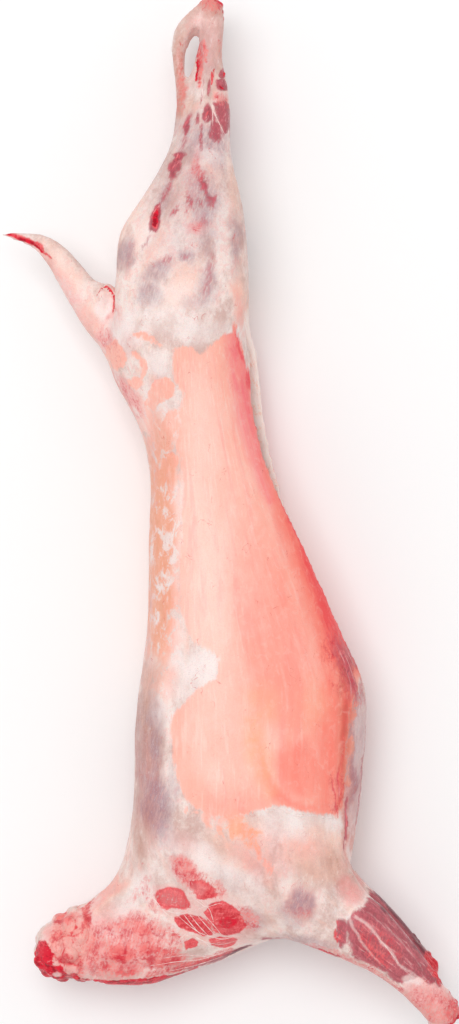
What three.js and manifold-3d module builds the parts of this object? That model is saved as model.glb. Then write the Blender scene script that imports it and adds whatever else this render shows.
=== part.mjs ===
// A whole dressed lamb: skinned, gutted, without head and feet, lying on its right side.
// Millimetres. X runs from the back to the belly, Y from the neck to the hocks, and Z up from
// the surface that it lies on to its left side. One closed solid, open along the belly.
import * as THREE from "three";
import { mergeVertices } from "three/addons/utils/BufferGeometryUtils.js";
import Module from "manifold-3d";

// Driving dimensions
const RUMP_WIDTH = 212; // across both thighs
const CHEST_WIDTH = 192; // across the widest ribs
const SHOULDER_WIDTH = 212; // across both shoulders
const LOIN_WIDTH = 152; // across the waist
const NECK_WIDTH = 88; // across the neck at its middle
const HOCK_SPACING = 76; // between the two hind shanks, middle to middle
const KNEE_SPACING = 96; // between the ends of the two forelegs
const BACK_WALL = 52; // from the skin of the back to the hollow: spine and loin meat
const FLANK_WALL = 9; // the thin flap on each side of the slit
const RIB_WALL = 17; // rib and the meat on it
const SLIT_GAP = 54; // widest opening between the two flaps
const FLAT_DEPTH = 7; // how far the lowest curves are pressed flat where it lies
const FILLET_SWELL = 0.2; // how far a corner between two pieces is filled, as a share of its radius
const FILLET_PASSES = 10; // rounds in which the skin there is evened out

const MID = RUMP_WIDTH / 2 - FLAT_DEPTH; // height of the plane between the left and right halves
const FLOOR_BOX = 1600; // side of the block that presses the underside flat
const UP = new THREE.Vector3(0, 0, 1);

// Stations down the trunk, from between the thighs to the front of the chest:
// the outline's back and belly at that height, the width, and what the far flap adds at the belly.
const TRUNK = [
  { y: 252, back: -112, belly: 0, width: 100, flap: 0 },
  { y: 205, back: -138, belly: 26, width: 176, flap: 2 },
  { y: 165, back: -147, belly: 27, width: 180, flap: 6 },
  { y: 146, back: -139, belly: 28, width: 176, flap: 9 },
  { y: 128, back: -123, belly: 30, width: 171, flap: 10 },
  { y: 92, back: -102, belly: 35, width: 160, flap: 12 },
  { y: 52, back: -94, belly: 48, width: LOIN_WIDTH, flap: 11 },
  { y: 8, back: -94, belly: 67, width: LOIN_WIDTH + 2, flap: 4 },
  { y: -42, back: -96, belly: 91, width: LOIN_WIDTH + 12, flap: 0 },
  { y: -96, back: -96, belly: 114, width: CHEST_WIDTH - 14, flap: 0 },
  { y: -150, back: -98, belly: 136, width: CHEST_WIDTH - 4, flap: 0 },
  { y: -206, back: -107, belly: 159, width: CHEST_WIDTH, flap: 0 },
  { y: -262, back: -113, belly: 160, width: CHEST_WIDTH, flap: 0 },
  { y: -320, back: -117, belly: 156, width: CHEST_WIDTH, flap: 0 },
  { y: -375, back: -115, belly: 149, width: CHEST_WIDTH - 4, flap: 0 },
  { y: -425, back: -112, belly: 138, width: CHEST_WIDTH - 12, flap: 0 },
  { y: -468, back: -84, belly: 118, width: CHEST_WIDTH - 44, flap: 0 },
  { y: -496, back: -40, belly: 92, width: CHEST_WIDTH - 100, flap: 0 },
];

// The hollow inside it, from the pelvis to the front of the ribs.
const HOLLOW = [
  { y: 196, back: -62, belly: 4, width: 22, flap: 0 },
  { y: 160, back: -76, belly: 14, width: 62, flap: 0 },
  { y: 112, back: -66, belly: 20, width: 104, flap: 6 },
  { y: 52, back: -94 + BACK_WALL, belly: 46 - FLANK_WALL, width: LOIN_WIDTH - 36, flap: 8 },
  { y: 8, back: -94 + BACK_WALL, belly: 64 - FLANK_WALL, width: LOIN_WIDTH - 34, flap: 3 },
  { y: -42, back: -96 + BACK_WALL, belly: 88 - FLANK_WALL, width: LOIN_WIDTH - 20, flap: 0 },
  { y: -150, back: -98 + BACK_WALL, belly: 134 - RIB_WALL, width: CHEST_WIDTH - 2 * RIB_WALL - 4, flap: 0 },
  { y: -262, back: -113 + BACK_WALL, belly: 160 - 1.6 * RIB_WALL, width: CHEST_WIDTH - 2 * RIB_WALL, flap: 0 },
  { y: -345, back: -112 + BACK_WALL, belly: 152 - 2 * RIB_WALL, width: CHEST_WIDTH - 4 * RIB_WALL, flap: 0 },
  { y: -410, back: -38, belly: 92, width: CHEST_WIDTH - 7 * RIB_WALL, flap: 0 },
];

// The slit along the belly: where its middle lies in X, and how far apart the flaps stand.
const SLIT = [
  { at: [12, 214, MID - 1], wide: 66, thick: 3 },
  { at: [26, 160, MID - 2], wide: 74, thick: 0.62 * SLIT_GAP },
  { at: [36, 92, MID - 2], wide: 80, thick: 0.9 * SLIT_GAP },
  { at: [58, 8, MID - 1], wide: 84, thick: SLIT_GAP },
  { at: [92, -68, MID], wide: 84, thick: 0.92 * SLIT_GAP },
  { at: [128, -140, MID], wide: 84, thick: 0.6 * SLIT_GAP },
  { at: [152, -200, MID], wide: 70, thick: 5 },
];

// The left hind leg, from the cut at the hock down into the loin.
const HIND_LEG = [
  { at: [-25, 601, MID + 0.46 * HOCK_SPACING], wide: 14, thick: 16 },
  { at: [-22, 587, MID + 0.46 * HOCK_SPACING], wide: 31, thick: 30 },
  { at: [-21, 562, MID + 0.48 * HOCK_SPACING], wide: 26, thick: 33 },
  { at: [-25, 528, MID + 0.5 * HOCK_SPACING], wide: 32, thick: 34 },
  { at: [-25, 500, MID + 0.52 * HOCK_SPACING], wide: 44, thick: 40 },
  { at: [-31, 470, MID + 0.55 * HOCK_SPACING], wide: 62, thick: 48 },
  { at: [-34, 428, MID + 0.61 * HOCK_SPACING], wide: 69, thick: 62 },
  { at: [-40, 390, MID + 0.66 * HOCK_SPACING], wide: 94, thick: 77 },
  { at: [-47, 355, MID + 0.68 * HOCK_SPACING], wide: 123, thick: 90 },
  { at: [-55, 320, MID + 0.69 * HOCK_SPACING], wide: 150, thick: 100 },
  { at: [-56, 273, MID + 0.7 * HOCK_SPACING], wide: 161, thick: RUMP_WIDTH - 1.4 * HOCK_SPACING },
  { at: [-56, 226, MID + 0.66 * HOCK_SPACING], wide: 162, thick: RUMP_WIDTH - 1.34 * HOCK_SPACING },
  { at: [-57, 182, MID + 0.56 * HOCK_SPACING], wide: 153, thick: 108 },
  { at: [-50, 138, MID + 0.42 * HOCK_SPACING], wide: 126, thick: 102 },
  { at: [-40, 96, MID + 0.34 * HOCK_SPACING], wide: 84, thick: 80 },
];

// The heel tendon that stands off the left shank, with the slot for a hook between them.
const HEEL_TENDON = [
  { at: [-24, 590, MID + 0.46 * HOCK_SPACING], wide: 18, thick: 18 },
  { at: [-42, 575, MID + 0.46 * HOCK_SPACING], wide: 19, thick: 20 },
  { at: [-57, 556, MID + 0.47 * HOCK_SPACING], wide: 20, thick: 20 },
  { at: [-61, 531, MID + 0.5 * HOCK_SPACING], wide: 15, thick: 15 },
  { at: [-57.5, 507, MID + 0.52 * HOCK_SPACING], wide: 13.5, thick: 15 },
  { at: [-53, 484, MID + 0.54 * HOCK_SPACING], wide: 22, thick: 24 },
  { at: [-48, 455, MID + 0.58 * HOCK_SPACING], wide: 26, thick: 32 },
];

// The left shoulder: the blade and its meat, flat against the ribs.
const SHOULDER = [
  { at: [-78, -300, MID + 48], wide: 46, thick: 50 },
  { at: [-60, -322, MID + 52], wide: 104, thick: 78 },
  { at: [-18, -362, MID + 56], wide: 150, thick: SHOULDER_WIDTH - 2 * 58 },
  { at: [34, -404, MID + 58], wide: 164, thick: SHOULDER_WIDTH - 2 * 60 },
  { at: [80, -442, MID + 57], wide: 126, thick: 84 },
  { at: [112, -466, MID + 55], wide: 84, thick: 64 },
];

// The left foreleg, from inside the shoulder to the cut below the knee.
const FORELEG = [
  { at: [70, -410, MID + 50], wide: 60, thick: 50 },
  { at: [114, -464, MID + 55], wide: 108, thick: 70 },
  { at: [151, -489, MID + 54], wide: 80, thick: 60 },
  { at: [187, -517, MID + 52], wide: 59, thick: 53 },
  { at: [215, -545, MID + 50], wide: 47, thick: 46 },
  { at: [238, -572, MID + KNEE_SPACING / 2], wide: 42, thick: 42 },
  { at: [250, -587, MID + KNEE_SPACING / 2], wide: 41, thick: 39 },
  { at: [257, -596, MID + KNEE_SPACING / 2], wide: 30, thick: 26 },
];
const FAR_LEG_LIFT = [-15, 36]; // the right foreleg's end lies this much nearer the back and hocks

// The neck, from inside the chest to the cut face.
const NECK = [
  { at: [16, -410, MID], wide: 168, thick: 150 },
  { at: [-33, -448, MID], wide: 192, thick: 142 },
  { at: [-68, -471, MID], wide: 180, thick: 124 },
  { at: [-98, -493, MID], wide: 146, thick: 108 },
  { at: [-134, -506, MID], wide: 117, thick: 98 },
  { at: [-168, -513, MID], wide: 94, thick: NECK_WIDTH + 2 },
  { at: [-194, -519, MID], wide: 82, thick: NECK_WIDTH - 2 },
  { at: [-209, -528, MID], wide: 61, thick: NECK_WIDTH - 14 },
  { at: [-220, -534, MID], wide: 40, thick: 50 },
];

// The groove along the throat, left where the windpipe came out.
const THROAT = [
  { at: [-226, -566, MID], reach: 24, deep: 3 },
  { at: [-170, -564, MID], reach: 30, deep: 6 },
  { at: [-90, -561, MID], reach: 34, deep: 4 },
  { at: [-10, -538, MID], reach: 44, deep: 8 },
  { at: [60, -510, MID], reach: 40, deep: 7 },
];

// The tail, from inside the rump to its tip, and the fold of fat beside its root.
const TAIL = [
  { at: [-108, 188, MID], wide: 58, thick: 60 },
  { at: [-140, 215, MID + 1], wide: 54, thick: 48 },
  { at: [-164, 242, MID + 2], wide: 43, thick: 39 },
  { at: [-183, 270, MID + 3], wide: 37, thick: 32 },
  { at: [-201, 296, MID + 3], wide: 31, thick: 27 },
  { at: [-220, 313, MID + 3], wide: 22, thick: 20 },
  { at: [-243, 320, MID + 2], wide: 12, thick: 12 },
  { at: [-262, 324, MID + 2], wide: 8, thick: 8 },
  { at: [-269, 326, MID + 2], wide: 5, thick: 5 },
];
const TAIL_FOLD = [
  { at: [-158, 218, MID + 14], wide: 16, thick: 20 },
  { at: [-156, 246, MID + 16], wide: 21, thick: 26 },
  { at: [-144, 258, MID + 16], wide: 20, thick: 26 },
  { at: [-134, 246, MID + 14], wide: 19, thick: 24 },
  { at: [-130, 224, MID + 12], wide: 18, thick: 22 },
];

// Fat on the far flap at the groin.
const GROIN_FAT = [
  { at: [22, 202, MID - 30], wide: 16, thick: 30 },
  { at: [25, 166, MID - 34], wide: 22, thick: 38 },
  { at: [28, 136, MID - 36], wide: 21, thick: 42 },
  { at: [27, 110, MID - 38], wide: 20, thick: 36 },
  { at: [26, 84, MID - 38], wide: 14, thick: 24 },
];

// The spline through one property of a row of stations, each a list of three numbers.
function splineThrough(stations, triple) {
  const points = stations.map((station) => new THREE.Vector3(...triple(station)));
  return new THREE.CatmullRomCurve3(points, false, "catmullrom", 0.5);
}

// cos or sin with fuller shoulders: 1 keeps the ellipse, less makes it squarer.
function fuller(value, power) {
  return Math.sign(value) * Math.abs(value) ** power;
}

// A closed skin over rings with equally many points, each end closed by a fan to its middle.
function skinOver(rings) {
  const sides = rings[0].length;
  const points = rings.flat();
  const ends = [rings[0], rings.at(-1)].map((ring) =>
    ring.reduce((sum, point) => sum.add(point), new THREE.Vector3()).divideScalar(sides),
  );
  const [first, last] = [points.length, points.length + 1];
  const faces = [];
  for (let side = 0; side < sides; side += 1) {
    const next = (side + 1) % sides;
    for (let step = 0; step < rings.length - 1; step += 1) {
      const [low, high] = [step * sides, (step + 1) * sides];
      faces.push(low + side, low + next, high + next, low + side, high + next, high + side);
    }
    const top = (rings.length - 1) * sides;
    faces.push(first, next, side, last, top + side, top + next);
  }
  return new THREE.BufferGeometry().setFromPoints([...points, ...ends]).setIndex(faces);
}

// A limb: oval slices through its stations, square to its path or all level.
function limb(stations, { sides, steps, blend, half = 0, square = 0.92, level = false }) {
  const path = splineThrough(stations, (station) => station.at);
  const girth = splineThrough(stations, (station) => [station.wide / 2, station.thick / 2, 0]);
  const slices = Array.from({ length: steps + 1 }, (_, step) => {
    const along = level ? new THREE.Vector3(0, -1, 0) : path.getTangent(step / steps);
    const across = new THREE.Vector3().crossVectors(UP, along).normalize();
    const upward = new THREE.Vector3().crossVectors(along, across);
    const { x: wide, y: thick } = girth.getPoint(step / steps);
    return { middle: path.getPoint(step / steps), across, upward, wide, thick, flap: 0, taper: 0 };
  });
  return { slices, sides, square, blend, half };
}

// The trunk or its hollow: level slices between back and belly, thinner towards the belly.
function barrel(stations, { sides, steps, blend, taper, square = 0.88 }) {
  const outline = splineThrough(stations, (station) => [station.back, station.belly, station.y]);
  const girth = splineThrough(stations, (station) => [station.width / 2, station.flap, 0]);
  const [across, upward] = [new THREE.Vector3(1, 0, 0), UP];
  const slices = Array.from({ length: steps + 1 }, (_, step) => {
    const { x: back, y: belly, z: height } = outline.getPoint(step / steps);
    const { x: thick, y: flap } = girth.getPoint(step / steps);
    const middle = new THREE.Vector3((back + belly) / 2, height, MID);
    return { middle, across, upward, wide: (belly - back) / 2, thick, flap, taper };
  });
  return { slices, sides, square, blend, half: 0 };
}

// How far the belly's edge reaches out at this direction round a slice.
function farFlap({ flap }, toBelly, toLeft) {
  return flap * Math.max(0, toBelly) * THREE.MathUtils.clamp(0.3 - 2 * toLeft, 0, 1);
}

// The closed skin of a limb or barrel.
function skinOf({ slices, sides, square }) {
  const rings = slices.map((slice) =>
    Array.from({ length: sides }, (_, side) => {
      const angle = (2 * Math.PI * side) / sides;
      const [toBelly, toLeft] = [Math.cos(angle), Math.sin(angle)].map((v) => fuller(v, square));
      return slice.middle
        .clone()
        .addScaledVector(slice.across, slice.wide * toBelly + farFlap(slice, toBelly, toLeft))
        .addScaledVector(slice.upward, slice.thick * toLeft * (1 - slice.taper * toBelly));
    }),
  );
  return skinOver(rings);
}

// About how far a point is outside that skin, in mm and less than 0 inside, and in which direction.
function outside({ slices, square }, point) {
  let nearest = { gap: Infinity };
  for (let index = 0; index < slices.length - 1; index += 1) {
    const leg = new THREE.Line3(slices[index].middle, slices[index + 1].middle);
    const share = leg.closestPointToPointParameter(point, true);
    const gap = leg.at(share, new THREE.Vector3()).distanceToSquared(point);
    if (gap < nearest.gap) nearest = { gap, index, share };
  }
  const { index, share } = nearest;
  const [low, high] = [slices[index], slices[index + 1]];
  const mix = (key) => THREE.MathUtils.lerp(low[key], high[key], share);
  const run = high.middle.clone().sub(low.middle).normalize();
  const ahead = point.clone().sub(high.middle).dot(run);
  const behind = low.middle.clone().sub(point).dot(run);
  const reach = point.clone().sub(low.middle).addScaledVector(run, behind);
  const toLeft = reach.dot(low.upward) / mix("thick");
  const sideways = reach.dot(low.across);
  const flap = sideways > 0 ? farFlap({ flap: mix("flap") }, 1, toLeft) : 0;
  const toBelly = sideways / (mix("wide") + flap);
  const lean = 1 - mix("taper") * THREE.MathUtils.clamp(toBelly, -1, 1);
  const power = 2 / square;
  const level = (Math.abs(toBelly) ** power + Math.abs(toLeft / lean) ** power) ** (1 / power);
  const side = reach.length() * (1 - 1 / Math.max(level, 1e-6));
  const cap = index === 0 ? behind : index === slices.length - 2 ? ahead : -Infinity;
  const outward = cap > side ? run.multiplyScalar(index === 0 ? -1 : 1) : reach.normalize();
  return { away: Math.max(side, cap), outward };
}

// How far neighbouring pieces swell into each other at a point of the skin, and how strongly the
// skin is evened out there. Both are 0 where one piece simply runs on into the other.
function fillet(pieces, point) {
  const near = pieces.map((piece) => ({ ...piece, ...outside(piece, point) }));
  near.sort((one, other) => one.away - other.away);
  const [first, ...others] = near;
  let [swell, ease] = [0, 0];
  for (const other of others.filter(({ half }) => half * first.half >= 0)) {
    const reach = Math.min(first.blend, other.blend);
    const share = Math.max(0, 1 - Math.abs(other.away) / reach) ** 2;
    const turn = first.outward.angleTo(other.outward);
    swell = Math.max(swell, share * reach * FILLET_SWELL * Math.min(1, 1 - Math.cos(turn)));
    ease = Math.max(ease, share * Math.min(1, 1.6 * turn));
  }
  return { swell, ease };
}

// How deep the throat's groove is at a point of the skin.
function grooveAt(point) {
  const depths = THROAT.slice(1).map((high, index) => {
    const low = THROAT[index];
    const leg = new THREE.Line3(new THREE.Vector3(...low.at), new THREE.Vector3(...high.at));
    const share = leg.closestPointToPointParameter(point, true);
    const away = leg.at(share, new THREE.Vector3()).distanceTo(point);
    const [reach, deep] = ["reach", "deep"].map((key) => THREE.MathUtils.lerp(low[key], high[key], share));
    return deep * Math.max(0, 1 - (away / reach) ** 2) ** 2;
  });
  return Math.max(...depths);
}

// The corners that each corner of a geometry shares an edge with.
function neighboursIn(shape) {
  const neighbours = Array.from({ length: shape.getAttribute("position").count }, () => new Set());
  const corners = shape.index.array;
  for (let at = 0; at < corners.length; at += 3) {
    for (const [from, to] of [[0, 1], [1, 2], [2, 0]]) {
      neighbours[corners[at + from]].add(corners[at + to]);
      neighbours[corners[at + to]].add(corners[at + from]);
    }
  }
  return neighbours;
}

// Fills the corners between the joined pieces, presses in the throat, and evens out the skin.
function smoothInto(pieces, shape) {
  const position = shape.getAttribute("position");
  const points = Array.from({ length: position.count }, (_, index) =>
    new THREE.Vector3().fromBufferAttribute(position, index),
  );
  shape.computeVertexNormals();
  const fillets = points.map((point) => fillet(pieces, point));
  points.forEach((point, index) => {
    const normal = new THREE.Vector3().fromBufferAttribute(shape.getAttribute("normal"), index);
    point.addScaledVector(normal, fillets[index].swell - grooveAt(point));
  });
  const neighbours = neighboursIn(shape).map((set) => [...set]);
  for (let pass = 0; pass < FILLET_PASSES; pass += 1) {
    const middles = neighbours.map((list) =>
      list.reduce((sum, at) => sum.add(points[at]), new THREE.Vector3()).divideScalar(list.length),
    );
    points.forEach((point, index) => point.lerp(middles[index], Math.min(0.7, 2 * fillets[index].ease)));
  }
  return shape.setFromPoints(points);
}

// The same stations on the right half: mirrored across the middle plane.
function mirrored(stations) {
  return stations.map((station) => ({
    ...station,
    at: [station.at[0], station.at[1], 2 * MID - station.at[2]],
  }));
}

// The right foreleg: mirrored, and swung a little further towards its end.
function farForeleg(stations) {
  return mirrored(stations).map((station, index) => {
    const share = (index / (stations.length - 1)) ** 1.5;
    const [x, y, z] = station.at;
    return { ...station, at: [x + share * FAR_LEG_LIFT[0], y + share * FAR_LEG_LIFT[1], z] };
  });
}

const wasm = await Module();
wasm.setup();

// A geometry as a solid that can be joined and cut.
function solidFrom(geometry) {
  const bare = new THREE.BufferGeometry().setAttribute("position", geometry.getAttribute("position"));
  bare.setIndex(geometry.index);
  const merged = mergeVertices(bare, 1e-4);
  return new wasm.Manifold(
    new wasm.Mesh({
      numProp: 3,
      vertProperties: new Float32Array(merged.attributes.position.array),
      triVerts: new Uint32Array(merged.index.array),
    }),
  );
}

// The geometry of a solid.
function geometryOf(solid) {
  const { vertProperties, triVerts } = solid.getMesh();
  return new THREE.BufferGeometry()
    .setAttribute("position", new THREE.BufferAttribute(vertProperties, 3))
    .setIndex(new THREE.BufferAttribute(triVerts, 1));
}

// Every piece of meat, bone and fat. blend is the radius with which it flows into its neighbours,
// and pieces of the left half (1) and of the right half (-1) stay apart.
function fleshPieces() {
  const pieces = [
    barrel(TRUNK, { sides: 36, steps: 34, blend: 56, taper: 0.16 }),
    limb(NECK, { sides: 24, steps: 14, blend: 56 }),
    limb(TAIL, { sides: 12, steps: 18, blend: 20 }),
    limb(TAIL_FOLD, { sides: 10, steps: 10, blend: 8 }),
    limb(GROIN_FAT, { sides: 10, steps: 8, blend: 12 }),
  ];
  for (const half of [1, -1]) {
    const side = half > 0 ? (stations) => stations : mirrored;
    pieces.push(
      limb(side(HIND_LEG), { sides: 22, steps: 28, blend: 60, half, level: true }),
      limb(side(HEEL_TENDON), { sides: 10, steps: 14, blend: 9, half }),
      limb(side(SHOULDER), { sides: 22, steps: 10, blend: 60, half }),
      limb(half > 0 ? FORELEG : farForeleg(FORELEG), { sides: 18, steps: 16, blend: 50, half }),
    );
  }
  return pieces;
}

// All of them joined under one smooth skin, before the hollow is cut.
function flesh() {
  const pieces = fleshPieces();
  const joined = pieces.map((piece) => solidFrom(skinOf(piece))).reduce((whole, piece) => whole.add(piece));
  return solidFrom(smoothInto(pieces, geometryOf(joined)));
}

// The block below the surface that it lies on.
function floorBlock() {
  const block = new THREE.BoxGeometry(FLOOR_BOX, FLOOR_BOX, FLOOR_BOX);
  block.translate(0, 0, -FLOOR_BOX / 2);
  return solidFrom(block);
}

const hollow = solidFrom(skinOf(barrel(HOLLOW, { sides: 26, steps: 20, taper: 0.14 })));
const slit = solidFrom(skinOf(limb(SLIT, { sides: 12, steps: 16, square: 0.7 })));
const shape = geometryOf(flesh().subtract(hollow).subtract(slit).subtract(floorBlock()));

// The origin is under the middle of the whole, on the surface that it lies on.
shape.computeBoundingBox();
const middle = shape.boundingBox.getCenter(new THREE.Vector3());
shape.translate(-middle.x, -middle.y, 0);
shape.computeVertexNormals();

const meat = new THREE.MeshStandardMaterial({ color: 0xe8b8a8, roughness: 0.45, metalness: 0 });
const carcass = new THREE.Mesh(shape, meat);
carcass.name = "carcass";

const group = new THREE.Group();
group.add(carcass);

export default group;
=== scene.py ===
"""Dresses the whole lamb carcass: its meat, fat, membranes and sinews, laid on a pale studio floor."""

import logging
import math
from dataclasses import dataclass
from enum import Enum

import bmesh
import bpy
import numpy as np
from mathutils import Matrix, Vector, noise
from mathutils.bvhtree import BVHTree


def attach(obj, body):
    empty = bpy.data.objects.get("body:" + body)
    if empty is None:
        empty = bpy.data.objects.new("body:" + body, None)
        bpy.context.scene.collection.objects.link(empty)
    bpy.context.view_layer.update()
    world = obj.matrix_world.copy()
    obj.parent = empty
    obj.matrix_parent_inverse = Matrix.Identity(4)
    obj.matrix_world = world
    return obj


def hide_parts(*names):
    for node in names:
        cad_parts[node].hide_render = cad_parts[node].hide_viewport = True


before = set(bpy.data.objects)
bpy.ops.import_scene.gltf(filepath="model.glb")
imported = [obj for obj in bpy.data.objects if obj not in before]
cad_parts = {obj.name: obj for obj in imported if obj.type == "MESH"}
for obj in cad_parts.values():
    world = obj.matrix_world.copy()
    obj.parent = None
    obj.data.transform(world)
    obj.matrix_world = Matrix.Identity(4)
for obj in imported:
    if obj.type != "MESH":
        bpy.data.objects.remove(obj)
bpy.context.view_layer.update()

LOG = logging.getLogger("carcass")
SEED = 11

Point = tuple[float, float]


class Chart:
    """The side chart that the carcass is laid out on: 459 columns by 1024 rows, seen from its left."""

    CELL = 1.2 / 1020
    COLUMNS = 459
    ROWS = 1024
    MIDDLE = 0.099

    @classmethod
    def place(cls, column: float, row: float) -> tuple[float, float]:
        """Where a cell of the chart lies.

        Args:
            column: cells from the chart's left edge.
            row: cells from its top edge.

        Returns:
            X and Y in metres.
        """
        return (column - cls.COLUMNS / 2) * cls.CELL, (cls.ROWS / 2 - row) * cls.CELL

    @classmethod
    def cells(cls, points: np.ndarray) -> np.ndarray:
        """Column and row of each point of an array of X, Y, Z in metres.

        Args:
            points: X, Y and Z of each point, in metres.

        Returns:
            Column and row of each point.
        """
        return np.stack(
            [
                points[:, 0] / cls.CELL + cls.COLUMNS / 2,
                cls.ROWS / 2 - points[:, 1] / cls.CELL,
            ],
            axis=1,
        )


class Tissue(Enum):
    """What a patch of the surface is. Each value names the vertex attribute that holds it."""

    FELL = "fell"
    SINEW = "sinew"
    BLEND = "blend"
    MOTTLE = "mottle"
    # Paler membrane on the fell, and one painted highlight beside the flank's red streak.
    PALE_AND_HIGHLIGHT = "pale"
    FLANK = "flank"
    ROSE = "rose"
    LEAN = "lean"
    RAW = "raw"
    DABBLE = "dabble"
    # Deep maroon; down the side of the near foreleg that turns away it is painted shade.
    DEEP_AND_SHADE = "deep"
    BLOOD = "blood"
    BRUISE = "bruise"
    WARM = "warm"
    TAN = "tan"
    ROSY = "rosy"
    MILK = "milk"

    @property
    def soft(self) -> bool:
        """Whether it is held as a strength from 0 to 1, and not as millimetres from its edge."""
        return self not in (Tissue.FELL, Tissue.SINEW)


def smooth(value: np.ndarray) -> np.ndarray:
    """Eases values between 0 and 1, and holds those beyond."""
    held = np.clip(value, 0, 1)
    return held * held * (3 - 2 * held)


@dataclass(frozen=True)
class Patch:
    """A closed outline on the chart, in cells."""

    tissue: Tissue
    outline: tuple[Point, ...]
    fade: float = 6.0
    strength: float = 1.0

    def depth(self, cells: np.ndarray) -> np.ndarray:
        """How far each cell is inside the outline, in cells, and less than 0 outside.

        Args:
            cells: column and row of each point.

        Returns:
            One distance for each point.
        """
        corners = np.array(self.outline, float)
        nearest = np.full(len(cells), 1e9)
        inside = np.zeros(len(cells), bool)
        for start, end in zip(corners, np.roll(corners, -1, axis=0)):
            run = end - start
            share = np.clip(((cells - start) @ run) / max(run @ run, 1e-9), 0, 1)
            nearest = np.minimum(nearest, np.linalg.norm(cells - start - share[:, None] * run, axis=1))
            if start[1] != end[1]:
                crossing = run[0] * (cells[:, 1] - start[1]) / run[1] + start[0]
                inside ^= ((start[1] <= cells[:, 1]) != (end[1] <= cells[:, 1])) & (cells[:, 0] < crossing)
        return np.where(inside, nearest, -nearest)


@dataclass(frozen=True)
class Spot:
    """An oval on the chart, in cells, turned by some degrees."""

    tissue: Tissue
    centre: Point
    radii: Point
    turn: float = 0.0
    fade: float = 6.0
    strength: float = 1.0

    def depth(self, cells: np.ndarray) -> np.ndarray:
        """How far each cell is inside the oval, in cells, and less than 0 outside.

        Args:
            cells: column and row of each point.

        Returns:
            One distance for each point.
        """
        angle = math.radians(self.turn)
        away = cells - np.array(self.centre)
        across = (away[:, 0] * math.cos(angle) + away[:, 1] * math.sin(angle)) / self.radii[0]
        down = (away[:, 1] * math.cos(angle) - away[:, 0] * math.sin(angle)) / self.radii[1]
        return (1 - np.hypot(across, down)) * min(self.radii)


@dataclass(frozen=True)
class Streak:
    """A line on the chart, in cells, with a half width at its start, its middle and its end."""

    tissue: Tissue | None
    path: tuple[Point, ...]
    widths: tuple[float, float, float] = (1.0, 2.0, 1.0)
    relief: float = 0.0
    spread: float = 1.0
    fade: float = 3.0
    strength: float = 1.0

    def reach(self, cells: np.ndarray) -> tuple[np.ndarray, np.ndarray]:
        """Distance from the line to each cell, and the line's half width at the nearest point.

        Args:
            cells: column and row of each point.

        Returns:
            The distances and the half widths, in cells.
        """
        corners = np.array(self.path, float)
        lengths = np.linalg.norm(np.diff(corners, axis=0), axis=1)
        starts = np.concatenate([[0], np.cumsum(lengths)])
        nearest = np.full(len(cells), 1e9)
        along = np.zeros(len(cells))
        for index, length in enumerate(lengths):
            run = corners[index + 1] - corners[index]
            share = np.clip(((cells - corners[index]) @ run) / (run @ run), 0, 1)
            away = np.linalg.norm(cells - corners[index] - share[:, None] * run, axis=1)
            closer = away < nearest
            nearest[closer] = away[closer]
            along[closer] = (starts[index] + share[closer] * length) / starts[-1]
        return nearest, np.interp(along, [0, 0.5, 1], self.widths)

    def depth(self, cells: np.ndarray) -> np.ndarray:
        """How far each cell is inside the line's width, in cells, and less than 0 outside."""
        nearest, width = self.reach(cells)
        return width - nearest

    def height(self, cells: np.ndarray) -> np.ndarray:
        """The line's ridge, or its groove if it is less than 0, in millimetres at each cell."""
        nearest, width = self.reach(cells)
        return self.relief * np.exp(-0.5 * (nearest / np.maximum(width * self.spread, 0.6)) ** 2)


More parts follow.
